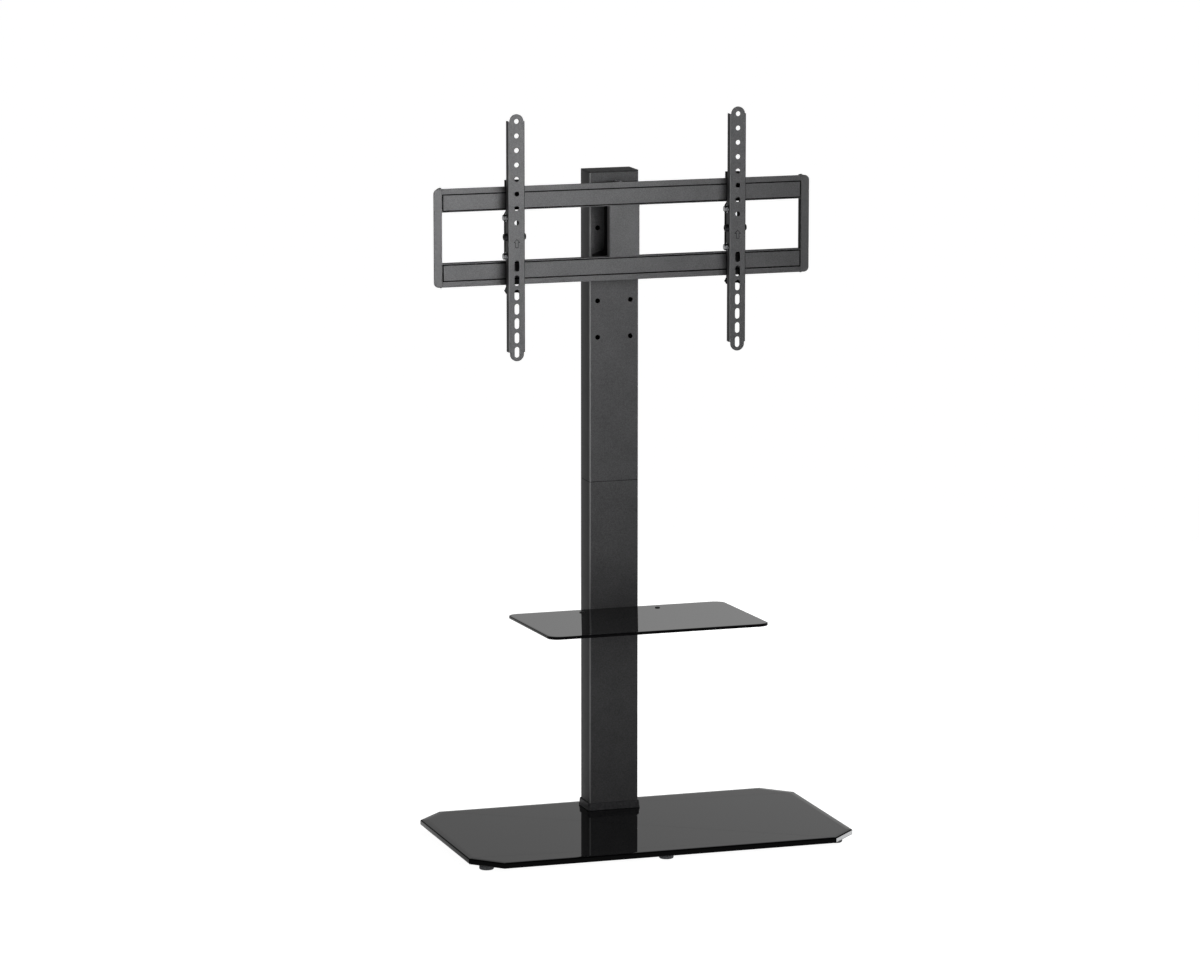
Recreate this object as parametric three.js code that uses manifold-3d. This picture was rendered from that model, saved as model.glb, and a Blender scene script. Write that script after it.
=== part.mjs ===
// Floor stand for a flat television: a bevelled black glass base, a two-piece rectangular steel
// column with a tilted glass shelf, and a swivelling rail frame that carries two sliding, tilting
// mounting arms. Millimetres, +Z up, front faces -Y, origin on the floor at the centre of the base.

import * as THREE from 'three';
import { mergeVertices } from 'three/addons/utils/BufferGeometryUtils.js';
import Module from 'manifold-3d';

const wasm = await Module();
wasm.setup();

// Fits shared by every piece
const seat = 0.3;            // running or seating gap between two pieces that meet
const boltClearance = 0.35;  // radial play of a bolt in its hole
const overrun = 1;           // how far a cutter runs past the face it cuts
const holeSides = 16;        // facets of a round hole that shows
const boltSides = 12;        // facets of a bolt or screw and of the hole that it fills
const arcSegments = 2;       // pairs of facets in a small rounded corner
const wideArcSegments = 5;   // pairs of facets in a wide rounded corner

// Base: glass plate with cut corners, six feet, steel plate underneath
const baseWidth = 700;
const baseDepth = 400;
const baseGlassThickness = 10;
const baseCutAlongWidth = 48.5;
const baseCutAlongDepth = 50;
const footHeight = 10.5;
const footRadius = 12.75;
const footEdgeRound = 2;
const outerFootSideInset = 32;
const outerFootEndInset = 51;
const middleFootInset = 31;
const basePlateWidth = 170;
const basePlateDepth = 92;
const basePlateThickness = 3;
const basePlateCorner = 8;
const gasketThickness = 1;
const baseBoltRadius = 3;
const baseBoltHeadRadius = 5.5;
const baseBoltHeadHeight = 2.4;
const baseBoltSpacingX = 64;
const baseBoltSpacingY = 26;

// Column: lower and upper tube, inner sleeve, collar and cap
const columnWidth = 90;
const columnDepth = 51.5;
const columnWall = 2;
const columnCorner = 2.4;
const columnBackInset = 24.8;
const lowerColumnLength = 590;
const upperColumnLength = 545.3;
const columnFlangeOverhang = 1.4;
const columnFlangeThickness = 4;
const spliceLength = 170;
const spliceWall = 2.5;
const spliceScrewFromSeam = 40;
const spliceScrewRadius = 2.5;
const spliceScrewHeadRadius = 4.5;
const spliceScrewHeadHeight = 2.4;
const spliceScrewTip = 1.5;
const collarHeight = 13;
const collarTopOverhang = 2.6;
const collarBottomOverhang = 4.1;
const collarLipHeight = 2.6;
const collarLipStep = 0.8;
const collarEdgeRound = 0.7;
const capLidThickness = 2.4;
const capSkirtLength = 14;
const capSkirtWall = 2;

// Mounting holes down the front of the upper column
const columnHoleRadius = 4.4;
const columnHoleSpacing = 60;
const columnHolePitch = 64.2;
const columnHoleRows = 5;
const topRowDrop = 32.3;
const nutStripWidth = 16;
const nutStripThickness = 4;
const nutStripMargin = 14;

// Shelf: glass, bracket and its screws
const shelfWidth = 400;
const shelfDepth = 260;
const shelfThickness = 5;
const shelfCorner = 20;
const shelfTilt = THREE.MathUtils.degToRad(2);
const shelfTopHeight = 386;
const shelfBackGap = 4.6;
const shelfBracketWidth = 80;
const shelfBracketReach = 58;
const shelfBracketDrop = 46;
const shelfBracketThickness = 2.5;
const shelfGussetThickness = 2.5;
const shelfWingSpan = 158;
const shelfWingDepth = 18;
const shelfScrewSpacing = 140;
const shelfScrewInset = 29;
const shelfScrewRadius = 2.5;
const shelfScrewHeadRadius = 4.5;
const shelfScrewHeadHeight = 1.4;
const shelfBracketScrewRadius = 3;
const shelfBracketScrewHeadRadius = 5.5;
const shelfBracketScrewHeadHeight = 3;
const shelfBracketScrewDrop = 27;

// Bracket fixed to the column and the vertical pin line that the frame swings on
const bracketThickness = 3;
const bracketHeight = 160;
const bracketWidth = 80;
const bracketWaistWidth = 36;
const bracketPadHeight = 34;
const bracketSlope = 8;
const bracketBoltRadius = 4;
const bracketBoltHeadRadius = 6.5;
const bracketBoltHeadHeight = 4.4;
const swivelAxisReach = 17.7;
const swivelEyeRadius = 12.5;
const swivelEarRoot = 5;
const swivelBoltRadius = 4;
const swivelBoltHeadAcross = 13;
const swivelBoltHeadHeight = 4.6;
const swivelNutHeight = 5.5;
const swivelWasherThickness = 1;
const swivelWasherRadius = 11;
const boltTip = 1.5;

// Swivel head: the channel that carries the two rails
const headWidth = 56;
const headOffset = 2.2;
const headSideDepth = 10.7;
const headNeckInset = 6;
const headWall = 2.5;
const headCorner = 3;
const headRearGap = 12;
const headEarWidth = 44;

// Rails and their end caps
const frameWidth = 684.8;
const frameHeight = 170.9;
const railFrontReach = 52.8;
const railHeight = 41;
const railDepth = 15;
const railWall = 2;
const railHookHeight = 8;
const railGrooveFromHook = 9.6;
const railGrooveWidth = 2.1;
const railLipHeight = 1.3;
const railGrooveDepth = 1.8;
const endCapWidth = 15;
const endCapCorner = 8.8;
const endCapEdgeRound = 0.8;
const endCapRimDepth = 2;
const endCapBackSlope = 10;
const endCapBackRound = 0.7;  // corner radius at the back as a share of the width left there
const endCapPlugLength = 12;
const endCapPlugWall = 2;
const endCapNubWidth = 3;
const endCapNubHeight = 1.4;
const railScrewSpacing = 20;
const railScrewRadius = 2.5;
const railScrewHeadRadius = 4.5;
const railScrewHeadHeight = 2.4;

// Mounting arms: slotted channels on a 25 mm hole grid
const armSpacing = 402.4;
const armPatternHeight = 400;
const armHolePitch = 25;
const armHoleCount = 8;
const armSlotCount = 7;
const armWidth = 29.7;
const armWall = 2;
const armBend = 2.2;
const armFlangeDepth = 13.6;
const armLobeRadius = 12.5;
const armTailDrop = 3.1;
const armLugDepth = 18.5;
const armLugHeight = 84;
const armLugSlope = 9;
const armFrontReach = 25.4;
const armHoleRadius = 4.3;
const armSlotLength = 18.8;

// Tilt joint between arm and hanger
const tiltAxisDepth = 8.5;
const tiltBoltRadius = 3;
const tiltBoltHeadRadius = 6.5;
const tiltBoltHeadHeight = 7.2;
const tiltBoltTip = 0.4;
const tiltNutAcross = 10;
const tiltNutHeight = 2.8;
const lockBoltOffset = 33.5;
const lockBoltSetback = 2;
const lockBoltRadius = 3;
const lockBoltHeadAcross = 10;
const lockBoltHeadHeight = 5.6;
const lockWasherRadius = 7;
const lockWasherThickness = 1.4;
const tiltForward = THREE.MathUtils.degToRad(5);
const tiltBack = THREE.MathUtils.degToRad(5);
const tiltSlotSpare = THREE.MathUtils.degToRad(1.5);

// Hangers: hook over the upper rail, tab and safety screw behind the lower one
const hangerWall = 2;
const hangerSideGap = 0.35;
const hangerNose = 4.6;
const hangerTopRise = 10.8;
const hookDepth = 4.6;
const hookDrop = 7.6;
const hookPlay = 0.5;
const hangerBulge = 10.4;
const hangerTailReach = 5.6;
const hangerBulgeSlope = 7;
const hangerTailDrop = 15;
const hangerTailLobe = 10.5;
const hangerTabThickness = 3;
const hangerTabRise = 2.5;
const hangerWebAbove = 10;
const hangerWebBelow = 30;
const safetyScrewRadius = 2.2;
const safetyScrewHeadRadius = 4.5;
const safetyScrewHeadHeight = 3.4;
const safetyScrewPlay = 0.4;
const safetyScrewTipGap = 2;

// Places worked out from the sizes above
const glassTop = footHeight + baseGlassThickness;
const gasketBottom = glassTop + seat;
const lowerColumnBottom = gasketBottom + gasketThickness + seat;
const seamHeight = lowerColumnBottom + lowerColumnLength;
const upperColumnBottom = seamHeight + seat;
const columnTop = upperColumnBottom + upperColumnLength;
const columnY = baseDepth / 2 - columnBackInset - columnDepth / 2;
const columnFront = columnY - columnDepth / 2;
const columnBack = columnY + columnDepth / 2;
const rowHeight = (row) => columnTop - topRowDrop - row * columnHolePitch;
const headZ = rowHeight(1);
const swivelY = columnFront - swivelAxisReach;
const railFront = columnFront - railFrontReach;
const railBack = railFront + railDepth;
const railLength = frameWidth - 2 * endCapWidth - 2 * seat;
const railInnerEdge = frameHeight / 2 - railHeight;
const railBoxOuter = frameHeight / 2 - railHookHeight;
const armFront = railFront - armFrontReach;
const tiltY = armFront + tiltAxisDepth;
const bracketFace = columnFront - seat - bracketThickness;
const swivelStack = bracketHeight / 2 - bracketThickness - seat - swivelWasherThickness - seat;
const hangerHalfWidth = armWidth / 2 - armWall - hangerSideGap;
const railFaceFromTilt = railFront - tiltY;
const hookFront = railFaceFromTilt + railWall + hookPlay;
const hookBack = hookFront + hookDepth;

// Finishes
const finish = (color, roughness, metalness, extra = {}) =>
  new THREE.MeshStandardMaterial({ color, roughness, metalness, flatShading: true, ...extra });
const powderCoat = finish(0x3a3a3b, 0.55, 0.3);
const railCoat = finish(0x444446, 0.5, 0.3);
const blackPlastic = finish(0x2b2b2c, 0.6, 0);
const blackGlass = finish(0x0a0a0b, 0.06, 0);
const smokedGlass = finish(0x16181a, 0.05, 0);
const zinc = finish(0xb9bcc0, 0.35, 0.9);
const blackSteel = finish(0x1d1d1e, 0.5, 0.6);
const greyRubber = finish(0x6d6e70, 0.8, 0);
const blackRubber = finish(0x18181a, 0.9, 0);
const nylon = finish(0xd8d8d2, 0.6, 0);

// A closed three.js geometry as a solid that can be cut and joined
function solid(geometry) {
  const bare = geometry.index ? geometry.clone() : geometry;
  for (const name of Object.keys(bare.attributes)) if (name !== 'position') bare.deleteAttribute(name);
  const merged = mergeVertices(bare, 1e-4);
  return new wasm.Manifold(new wasm.Mesh({
    numProp: 3,
    vertProperties: new Float32Array(merged.attributes.position.array),
    triVerts: new Uint32Array(merged.index.array),
  }));
}

// A solid back as three.js geometry
function geometryOf(body) {
  const { vertProperties, triVerts } = body.getMesh();
  const geometry = new THREE.BufferGeometry();
  geometry.setAttribute('position', new THREE.BufferAttribute(new Float32Array(vertProperties), 3));
  geometry.setIndex(new THREE.BufferAttribute(new Uint32Array(triVerts), 1));
  geometry.computeVertexNormals();
  return geometry;
}

function piece(name, body, material) {
  const mesh = new THREE.Mesh(geometryOf(body), material);
  mesh.name = name;
  return mesh;
}

const join = (...bodies) => bodies.reduce((whole, body) => whole.add(body));
const cut = (body, ...cutters) => cutters.reduce((rest, cutter) => rest.subtract(cutter), body);

function box([x0, x1], [y0, y1], [z0, z1]) {
  const geometry = new THREE.BoxGeometry(x1 - x0, y1 - y0, z1 - z0);
  return solid(geometry.translate((x0 + x1) / 2, (y0 + y1) / 2, (z0 + z1) / 2));
}

const slab = (shape, depth, curveSegments) =>
  new THREE.ExtrudeGeometry(shape, { depth, bevelEnabled: false, curveSegments });

// Prisms: an outline drawn in the plane square to the axis, between two places along it
const depthAlongX = new THREE.Matrix4().set(0, 0, 1, 0, 1, 0, 0, 0, 0, 1, 0, 0, 0, 0, 0, 1);
const depthAgainstY = new THREE.Matrix4().set(1, 0, 0, 0, 0, 0, -1, 0, 0, 1, 0, 0, 0, 0, 0, 1);

function prismZ(shape, z0, z1, segments = arcSegments) {
  return solid(slab(shape, z1 - z0, segments).translate(0, 0, z0));
}

function prismX(shape, x0, x1, segments = arcSegments) {
  return solid(slab(shape, x1 - x0, segments).applyMatrix4(depthAlongX).translate(x0, 0, 0));
}

function prismY(shape, y0, y1, segments = arcSegments) {
  return solid(slab(shape, y1 - y0, segments).applyMatrix4(depthAgainstY).translate(0, y1, 0));
}

// Round bars along each axis, centred on the two other coordinates
function rodZ(radius, z0, z1, x = 0, y = 0, sides = boltSides) {
  const geometry = new THREE.CylinderGeometry(radius, radius, z1 - z0, sides).rotateX(Math.PI / 2);
  return solid(geometry.translate(x, y, (z0 + z1) / 2));
}

function rodY(radius, y0, y1, x = 0, z = 0, sides = boltSides) {
  const geometry = new THREE.CylinderGeometry(radius, radius, y1 - y0, sides);
  return solid(geometry.translate(x, (y0 + y1) / 2, z));
}

function rodX(radius, x0, x1, y = 0, z = 0, sides = boltSides) {
  const geometry = new THREE.CylinderGeometry(radius, radius, x1 - x0, sides).rotateZ(Math.PI / 2);
  return solid(geometry.translate((x0 + x1) / 2, y, z));
}

const hexRadius = (acrossFlats) => acrossFlats / 2 / Math.cos(Math.PI / 6);
const hexSides = 6;

const polygon = (points) => new THREE.Shape(points.map(([x, y]) => new THREE.Vector2(x, y)));

// Rectangle with round corners, centred on the origin
function roundedRectangle(width, height, radius) {
  const x = width / 2;
  const y = height / 2;
  const shape = new THREE.Shape();
  shape.absarc(x - radius, y - radius, radius, 0, Math.PI / 2);
  shape.absarc(-x + radius, y - radius, radius, Math.PI / 2, Math.PI);
  shape.absarc(-x + radius, -y + radius, radius, Math.PI, 1.5 * Math.PI);
  shape.absarc(x - radius, -y + radius, radius, 1.5 * Math.PI, 2 * Math.PI);
  shape.closePath();
  return shape;
}

// Skin through a stack of outlines with as many points each, closed at both ends
function loft(levels, segments = arcSegments) {
  const rings = levels.map(({ shape, z }) => {
    const points = shape.extractPoints(segments).shape;
    return points.map((point) => [point.x, point.y, z]);
  });
  const count = rings[0].length;
  const index = [];
  for (let ring = 0; ring + 1 < rings.length; ring += 1) {
    for (let side = 0; side < count; side += 1) {
      const a = ring * count + side;
      const b = ring * count + ((side + 1) % count);
      index.push(a, b, b + count, a, b + count, a + count);
    }
  }
  const lastRing = (rings.length - 1) * count;
  const flat = levels[0].shape.extractPoints(segments).shape;
  for (const face of THREE.ShapeUtils.triangulateShape(flat, [])) {
    const turnsLeft = THREE.ShapeUtils.area(face.map((corner) => flat[corner])) > 0;
    const [a, b, c] = turnsLeft ? face : [...face].reverse();
    index.push(c, b, a, lastRing + a, lastRing + b, lastRing + c);
  }
  const geometry = new THREE.BufferGeometry();
  geometry.setAttribute('position', new THREE.Float32BufferAttribute(rings.flat(2), 3));
  geometry.setIndex(index);
  return solid(geometry);
}

// Turned piece from a radius and height profile that starts and ends on the axis
function turned(profile, sides) {
  const points = profile.map(([radius, height]) => new THREE.Vector2(radius, height));
  return solid(new THREE.LatheGeometry(points, sides).rotateX(Math.PI / 2));
}

const moved = (body, x, y, z) => body.translate([x, y, z]);

// Round-headed screw pointing along -Z: underside of the head at the origin
function screw(radius, headRadius, headHeight, length) {
  const crown = headHeight / 3;
  return turned([
    [0, -length], [radius, -length], [radius, 0], [headRadius, 0],
    [headRadius, headHeight - crown], [headRadius - crown, headHeight], [0, headHeight],
  ], boltSides);
}

// Hexagon-headed bolt pointing along -Z: underside of the head at the origin
function hexBolt(radius, acrossFlats, headHeight, length) {
  const head = rodZ(hexRadius(acrossFlats), 0, headHeight, 0, 0, hexSides);
  return join(head, rodZ(radius, -length, headHeight / 2));
}

function hexNut(boltRadius, acrossFlats, height) {
  const body = rodZ(hexRadius(acrossFlats), 0, height, 0, 0, hexSides);
  return cut(body, rodZ(boltRadius + boltClearance, -overrun, height + overrun));
}

// Base
const baseOutline = () => {
  const x = baseWidth / 2;
  const y = baseDepth / 2;
  const xCut = x - baseCutAlongWidth;
  const yCut = y - baseCutAlongDepth;
  return polygon([
    [-xCut, -y], [xCut, -y], [x, -yCut], [x, yCut], [xCut, y], [-xCut, y], [-x, yCut], [-x, -yCut],
  ]);
};

const baseBoltPlaces = [[-1, -1], [1, -1], [1, 1], [-1, 1]].map(([sideX, sideY]) =>
  [sideX * baseBoltSpacingX / 2, columnY + sideY * baseBoltSpacingY / 2]);

const baseBoltHoles = (z0, z1) => baseBoltPlaces.map(([x, y]) =>
  rodZ(baseBoltRadius + boltClearance, z0 - overrun, z1 + overrun, x, y));

function makeBase() {
  const group = new THREE.Group();
  const glass = cut(prismZ(baseOutline(), footHeight, glassTop), ...baseBoltHoles(footHeight, glassTop));
  group.add(piece('base_glass', glass, blackGlass));

  const plateTop = footHeight - seat;
  const plateBottom = plateTop - basePlateThickness;
  const plateShape = roundedRectangle(basePlateWidth, basePlateDepth, basePlateCorner);
  const plate = cut(moved(prismZ(plateShape, plateBottom, plateTop), 0, columnY, 0),
    ...baseBoltHoles(plateBottom, plateTop));
  group.add(piece('base_plate', plate, powderCoat));

  const gasketShape = roundedRectangle(columnWidth, columnDepth, columnCorner);
  const gasketTop = gasketBottom + gasketThickness;
  const gasket = cut(moved(prismZ(gasketShape, gasketBottom, gasketTop), 0, columnY, 0),
    ...baseBoltHoles(gasketBottom, gasketTop));
  group.add(piece('base_gasket', gasket, blackRubber));

  const boltBottom = plateBottom - seat;
  const boltLength = lowerColumnBottom + columnFlangeThickness + boltTip - boltBottom;
  const bolt = screw(baseBoltRadius, baseBoltHeadRadius, baseBoltHeadHeight, boltLength);
  baseBoltPlaces.forEach(([x, y], place) => {
    const mesh = piece(`base_bolt_${place + 1}`, bolt, blackSteel);
    mesh.rotation.x = Math.PI;
    mesh.position.set(x, y, boltBottom);
    group.add(mesh);
  });
  return group;
}

function footBody(height) {
  const round = Math.min(footEdgeRound, height / 2);
  return turned([
    [0, 0], [footRadius - round, 0], [footRadius, round], [footRadius, height], [0, height],
  ], 2 * boltSides);
}

function makeFeet() {
  const group = new THREE.Group();
  const outerX = baseWidth / 2 - outerFootSideInset;
  const outerY = baseDepth / 2 - outerFootEndInset;
  const middleY = baseDepth / 2 - middleFootInset;
  const onGlass = footHeight - seat;
  const onPlate = footHeight - seat - basePlateThickness - seat;
  const feet = [
    ['front_left', -outerX, -outerY, onGlass], ['front_middle', 0, -middleY, onGlass],
    ['front_right', outerX, -outerY, onGlass], ['rear_left', -outerX, outerY, onGlass],
    ['rear_middle', 0, columnY, onPlate], ['rear_right', outerX, outerY, onGlass],
  ];
  for (const [name, x, y, height] of feet) {
    const foot = piece(`foot_${name}`, footBody(height), greyRubber);
    foot.position.set(x, y, 0);
    group.add(foot);
  }
  return group;
}

// Column
const columnShape = (inset) => roundedRectangle(
  columnWidth - 2 * inset, columnDepth - 2 * inset, Math.max(columnCorner - inset, columnCorner / 4));

function tube(outerInset, wall, z0, z1) {
  const outer = prismZ(columnShape(outerInset), z0, z1);
  return cut(outer, prismZ(columnShape(outerInset + wall), z0 - overrun, z1 + overrun));
}

const onColumn = (body) => moved(body, 0, columnY, 0);
const shelfBracketScrewZ = shelfTopHeight - shelfThickness - shelfBracketScrewDrop;
const spliceScrewHeights = [-1, 1].map((side) => seamHeight + side * spliceScrewFromSeam);

const spliceScrewHoles = () => spliceScrewHeights.map((z) =>
  rodY(spliceScrewRadius + boltClearance, columnY, columnBack + overrun, 0, z));

function lowerColumnBody() {
  const top = lowerColumnBottom + lowerColumnLength;
  const flangeShape = roundedRectangle(columnWidth + 2 * columnFlangeOverhang,
    columnDepth + 2 * columnFlangeOverhang, columnCorner + columnFlangeOverhang);
  const flange = prismZ(flangeShape, lowerColumnBottom, lowerColumnBottom + columnFlangeThickness);
  const welded = onColumn(join(tube(0, columnWall, lowerColumnBottom, top), flange));
  const shelfHoles = [-1, 1].map((side) => rodY(shelfBracketScrewRadius + boltClearance,
    columnFront - overrun, columnFront + columnWall + overrun,
    side * columnHoleSpacing / 2, shelfBracketScrewZ));
  return cut(welded, ...baseBoltHoles(lowerColumnBottom, lowerColumnBottom + columnFlangeThickness),
    ...shelfHoles, ...spliceScrewHoles());
}

function upperColumnBody() {
  const stripTop = rowHeight(0) + nutStripMargin;
  const stripBottom = rowHeight(columnHoleRows - 1) - nutStripMargin;
  const stripBack = columnFront + columnWall + nutStripThickness;
  const strips = [-1, 1].map((side) => {
    const x = side * columnHoleSpacing / 2;
    return box([x - nutStripWidth / 2, x + nutStripWidth / 2],
      [columnFront + columnWall / 2, stripBack], [stripBottom, stripTop]);
  });
  const holes = [];
  for (let row = 0; row < columnHoleRows; row += 1) {
    for (const side of [-1, 1]) {
      holes.push(rodY(columnHoleRadius, columnFront - overrun, stripBack + overrun,
        side * columnHoleSpacing / 2, rowHeight(row), holeSides));
    }
  }
  const shell = onColumn(tube(0, columnWall, upperColumnBottom, columnTop));
  return cut(join(shell, ...strips), ...holes, ...spliceScrewHoles());
}

function collarBody() {
  const outline = (overhang) => roundedRectangle(columnWidth + 2 * overhang,
    columnDepth + 2 * overhang, columnCorner + overhang);
  const bottom = glassTop + seat;
  const top = glassTop + collarHeight;
  const skin = loft([
    { shape: outline(collarBottomOverhang), z: bottom },
    { shape: outline(collarBottomOverhang), z: bottom + collarLipHeight },
    { shape: outline(collarBottomOverhang - collarLipStep), z: bottom + collarLipHeight + collarLipStep },
    { shape: outline(collarTopOverhang), z: top - collarEdgeRound },
    { shape: outline(collarTopOverhang - collarEdgeRound), z: top },
  ]);
  const columnHole = prismZ(outline(seat), bottom - overrun, top + overrun);
  const flangeRoom = prismZ(outline(columnFlangeOverhang + seat), bottom - overrun,
    lowerColumnBottom + columnFlangeThickness + seat);
  return onColumn(cut(skin, columnHole, flangeRoom));
}

function capBody() {
  const bottom = columnTop + seat;
  const lid = prismZ(columnShape(0), bottom, bottom + capLidThickness);
  const skirt = tube(columnWall + seat, capSkirtWall, bottom - capSkirtLength, bottom + capLidThickness / 2);
  return onColumn(join(lid, skirt));
}

function makeColumn() {
  const group = new THREE.Group();
  group.add(piece('lower_column', lowerColumnBody(), powderCoat));
  group.add(piece('upper_column', upperColumnBody(), powderCoat));
  const sleeve = onColumn(tube(columnWall + seat, spliceWall,
    seamHeight - spliceLength / 2, seamHeight + spliceLength / 2));
  group.add(piece('column_splice', cut(sleeve, ...spliceScrewHoles()), blackSteel));
  group.add(piece('base_collar', collarBody(), blackPlastic));
  group.add(piece('top_cap', capBody(), blackPlastic));

  const screwLength = seat + columnWall + seat + spliceWall + spliceScrewTip;
  const body = screw(spliceScrewRadius, spliceScrewHeadRadius, spliceScrewHeadHeight, screwLength);
  ['lower', 'upper'].forEach((name, which) => {
    const mesh = piece(`splice_screw_${name}`, body, blackSteel);
    mesh.rotation.x = -Math.PI / 2;
    mesh.position.set(0, columnBack + seat, spliceScrewHeights[which]);
    group.add(mesh);
  });
  return group;
}

// Shelf, in its own tilted frame: back edge of the top face on the X axis
const shelfBackY = columnFront - shelfBackGap;
const shelfBottom = -shelfThickness;
const ledgeTop = shelfBottom - seat;

function shelfScrewHoles(z0, z1) {
  return [-1, 1].map((side) => rodZ(shelfScrewRadius + boltClearance, z0 - overrun, z1 + overrun,
    side * shelfScrewSpacing / 2, -shelfScrewInset));
}

function shelfGlassBody() {
  const outline = roundedRectangle(shelfWidth, shelfDepth, shelfCorner);
  const sheet = moved(prismZ(outline, shelfBottom, 0, wideArcSegments), 0, -shelfDepth / 2, 0);
  return cut(sheet, ...shelfScrewHoles(shelfBottom, 0));
}

function shelfBracketBody() {
  const halfWidth = shelfBracketWidth / 2;
  const ledgeBottom = ledgeTop - shelfBracketThickness;
  const backY = shelfBackGap - seat;
  const ledge = box([-halfWidth, halfWidth], [-shelfBracketReach, 0], [ledgeBottom, ledgeTop]);
  const wing = box([-shelfWingSpan / 2, shelfWingSpan / 2],
    [-shelfScrewInset - shelfWingDepth / 2, -shelfScrewInset + shelfWingDepth / 2], [ledgeBottom, ledgeTop]);
  const tilted = cut(join(ledge, wing), ...shelfScrewHoles(ledgeBottom, ledgeTop))
    .rotate([-THREE.MathUtils.radToDeg(shelfTilt), 0, 0]);

  const plateFront = backY - shelfBracketThickness;
  const plate = box([-halfWidth, halfWidth], [plateFront, backY], [ledgeTop - shelfBracketDrop, ledgeTop]);
  const rib = polygon([
    [plateFront + shelfBracketThickness / 2, ledgeTop - shelfBracketDrop],
    [plateFront - shelfBracketThickness, ledgeTop - shelfBracketDrop],
    [-shelfBracketReach, ledgeBottom], [-shelfBracketReach / 2, ledgeTop - shelfBracketThickness / 2],
    [plateFront + shelfBracketThickness / 2, ledgeTop - shelfBracketThickness / 2],
  ]);
  const ribs = [[-halfWidth, -halfWidth + shelfGussetThickness], [halfWidth - shelfGussetThickness, halfWidth]]
    .map(([x0, x1]) => prismX(rib, x0, x1));
  const bridge = box([-halfWidth, halfWidth], [-shelfBracketThickness, plateFront + shelfBracketThickness / 2],
    [ledgeBottom, ledgeTop - shelfBracketThickness / 3]);
  const screwZ = shelfBracketScrewZ - shelfTopHeight;
  const holes = [-1, 1].map((side) => rodY(shelfBracketScrewRadius + boltClearance,
    plateFront - overrun, backY + overrun, side * columnHoleSpacing / 2, screwZ));
  return cut(join(tilted, plate, bridge, ...ribs), ...holes);
}

function makeShelf() {
  const group = new THREE.Group();
  group.position.set(0, shelfBackY, shelfTopHeight);
  group.add(piece('shelf_bracket', shelfBracketBody(), powderCoat));

  const tilted = new THREE.Group();
  tilted.rotation.x = -shelfTilt;
  tilted.add(piece('shelf_glass', shelfGlassBody(), smokedGlass));
  const length = seat + shelfThickness + seat + shelfBracketThickness + boltTip;
  const glassScrew = screw(shelfScrewRadius, shelfScrewHeadRadius, shelfScrewHeadHeight, length);
  ['left', 'right'].forEach((name, which) => {
    const mesh = piece(`shelf_screw_${name}`, glassScrew, blackSteel);
    mesh.position.set((which - 0.5) * shelfScrewSpacing, -shelfScrewInset, seat);
    tilted.add(mesh);
  });
  group.add(tilted);

  const plateFront = shelfBackGap - seat - shelfBracketThickness;
  const reach = seat + shelfBracketThickness + seat + columnWall + boltTip;
  const plateScrew = screw(shelfBracketScrewRadius, shelfBracketScrewHeadRadius,
    shelfBracketScrewHeadHeight, reach);
  ['left', 'right'].forEach((name, which) => {
    const mesh = piece(`shelf_bracket_screw_${name}`, plateScrew, blackSteel);
    mesh.rotation.x = Math.PI / 2;
    mesh.position.set((which - 0.5) * columnHoleSpacing, plateFront - seat,
      shelfBracketScrewZ - shelfTopHeight);
    group.add(mesh);
  });
  return group;
}

// Fixed bracket: waisted plate on the column with an eye plate above and below
function eyePlate(rootWidth, rootY, shoulderY, z0, z1) {
  const half = rootWidth / 2;
  const shape = new THREE.Shape();
  shape.moveTo(half, rootY);
  shape.lineTo(half, shoulderY);
  shape.lineTo(swivelEyeRadius, swivelY);
  const turn = rootY > swivelY ? -Math.PI : Math.PI;
  shape.absarc(0, swivelY, swivelEyeRadius, 0, turn, turn < 0);
  shape.lineTo(-half, shoulderY);
  shape.lineTo(-half, rootY);
  shape.closePath();
  const eye = prismZ(shape, z0, z1);
  return cut(eye, rodZ(swivelBoltRadius + boltClearance, z0 - overrun, z1 + overrun, 0, swivelY));
}

const bracketRows = [0, 2];
const bracketBoltPlaces = bracketRows.flatMap((row) => [-1, 1].map((side) =>
  [side * columnHoleSpacing / 2, rowHeight(row)]));

function bracketBody() {
  const half = bracketHeight / 2;
  const wide = bracketWidth / 2;
  const waist = bracketWaistWidth / 2;
  const shoulder = half - bracketPadHeight;
  const outline = polygon([
    [-wide, -half], [wide, -half], [wide, -shoulder], [waist, -shoulder + bracketSlope],
    [waist, shoulder - bracketSlope], [wide, shoulder], [wide, half], [-wide, half],
    [-wide, shoulder], [-waist, shoulder - bracketSlope], [-waist, -shoulder + bracketSlope],
    [-wide, -shoulder],
  ]);
  const back = columnFront - seat;
  const plate = moved(prismY(outline, bracketFace, back), 0, 0, headZ);
  const shoulderY = bracketFace - bracketThickness;
  const upper = eyePlate(bracketWidth, back, shoulderY, headZ + half - bracketThickness, headZ + half);
  const lower = eyePlate(bracketWidth, back, shoulderY, headZ - half, headZ - half + bracketThickness);
  const holes = bracketBoltPlaces.map(([x, z]) => rodY(bracketBoltRadius + boltClearance,
    bracketFace - overrun, columnFront + overrun, x, z));
  return cut(join(plate, upper, lower), ...holes);
}

function makeBracket() {
  const group = new THREE.Group();
  group.add(piece('column_bracket', bracketBody(), powderCoat));
  const length = seat + bracketThickness + seat + columnWall + nutStripThickness + boltTip;
  const bolt = screw(bracketBoltRadius, bracketBoltHeadRadius, bracketBoltHeadHeight, length);
  bracketBoltPlaces.forEach(([x, z], place) => {
    const mesh = piece(`bracket_bolt_${place + 1}`, bolt, blackSteel);
    mesh.rotation.x = Math.PI / 2;
    mesh.position.set(x, bracketFace - seat, z);
    group.add(mesh);
  });
  return group;
}

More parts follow.
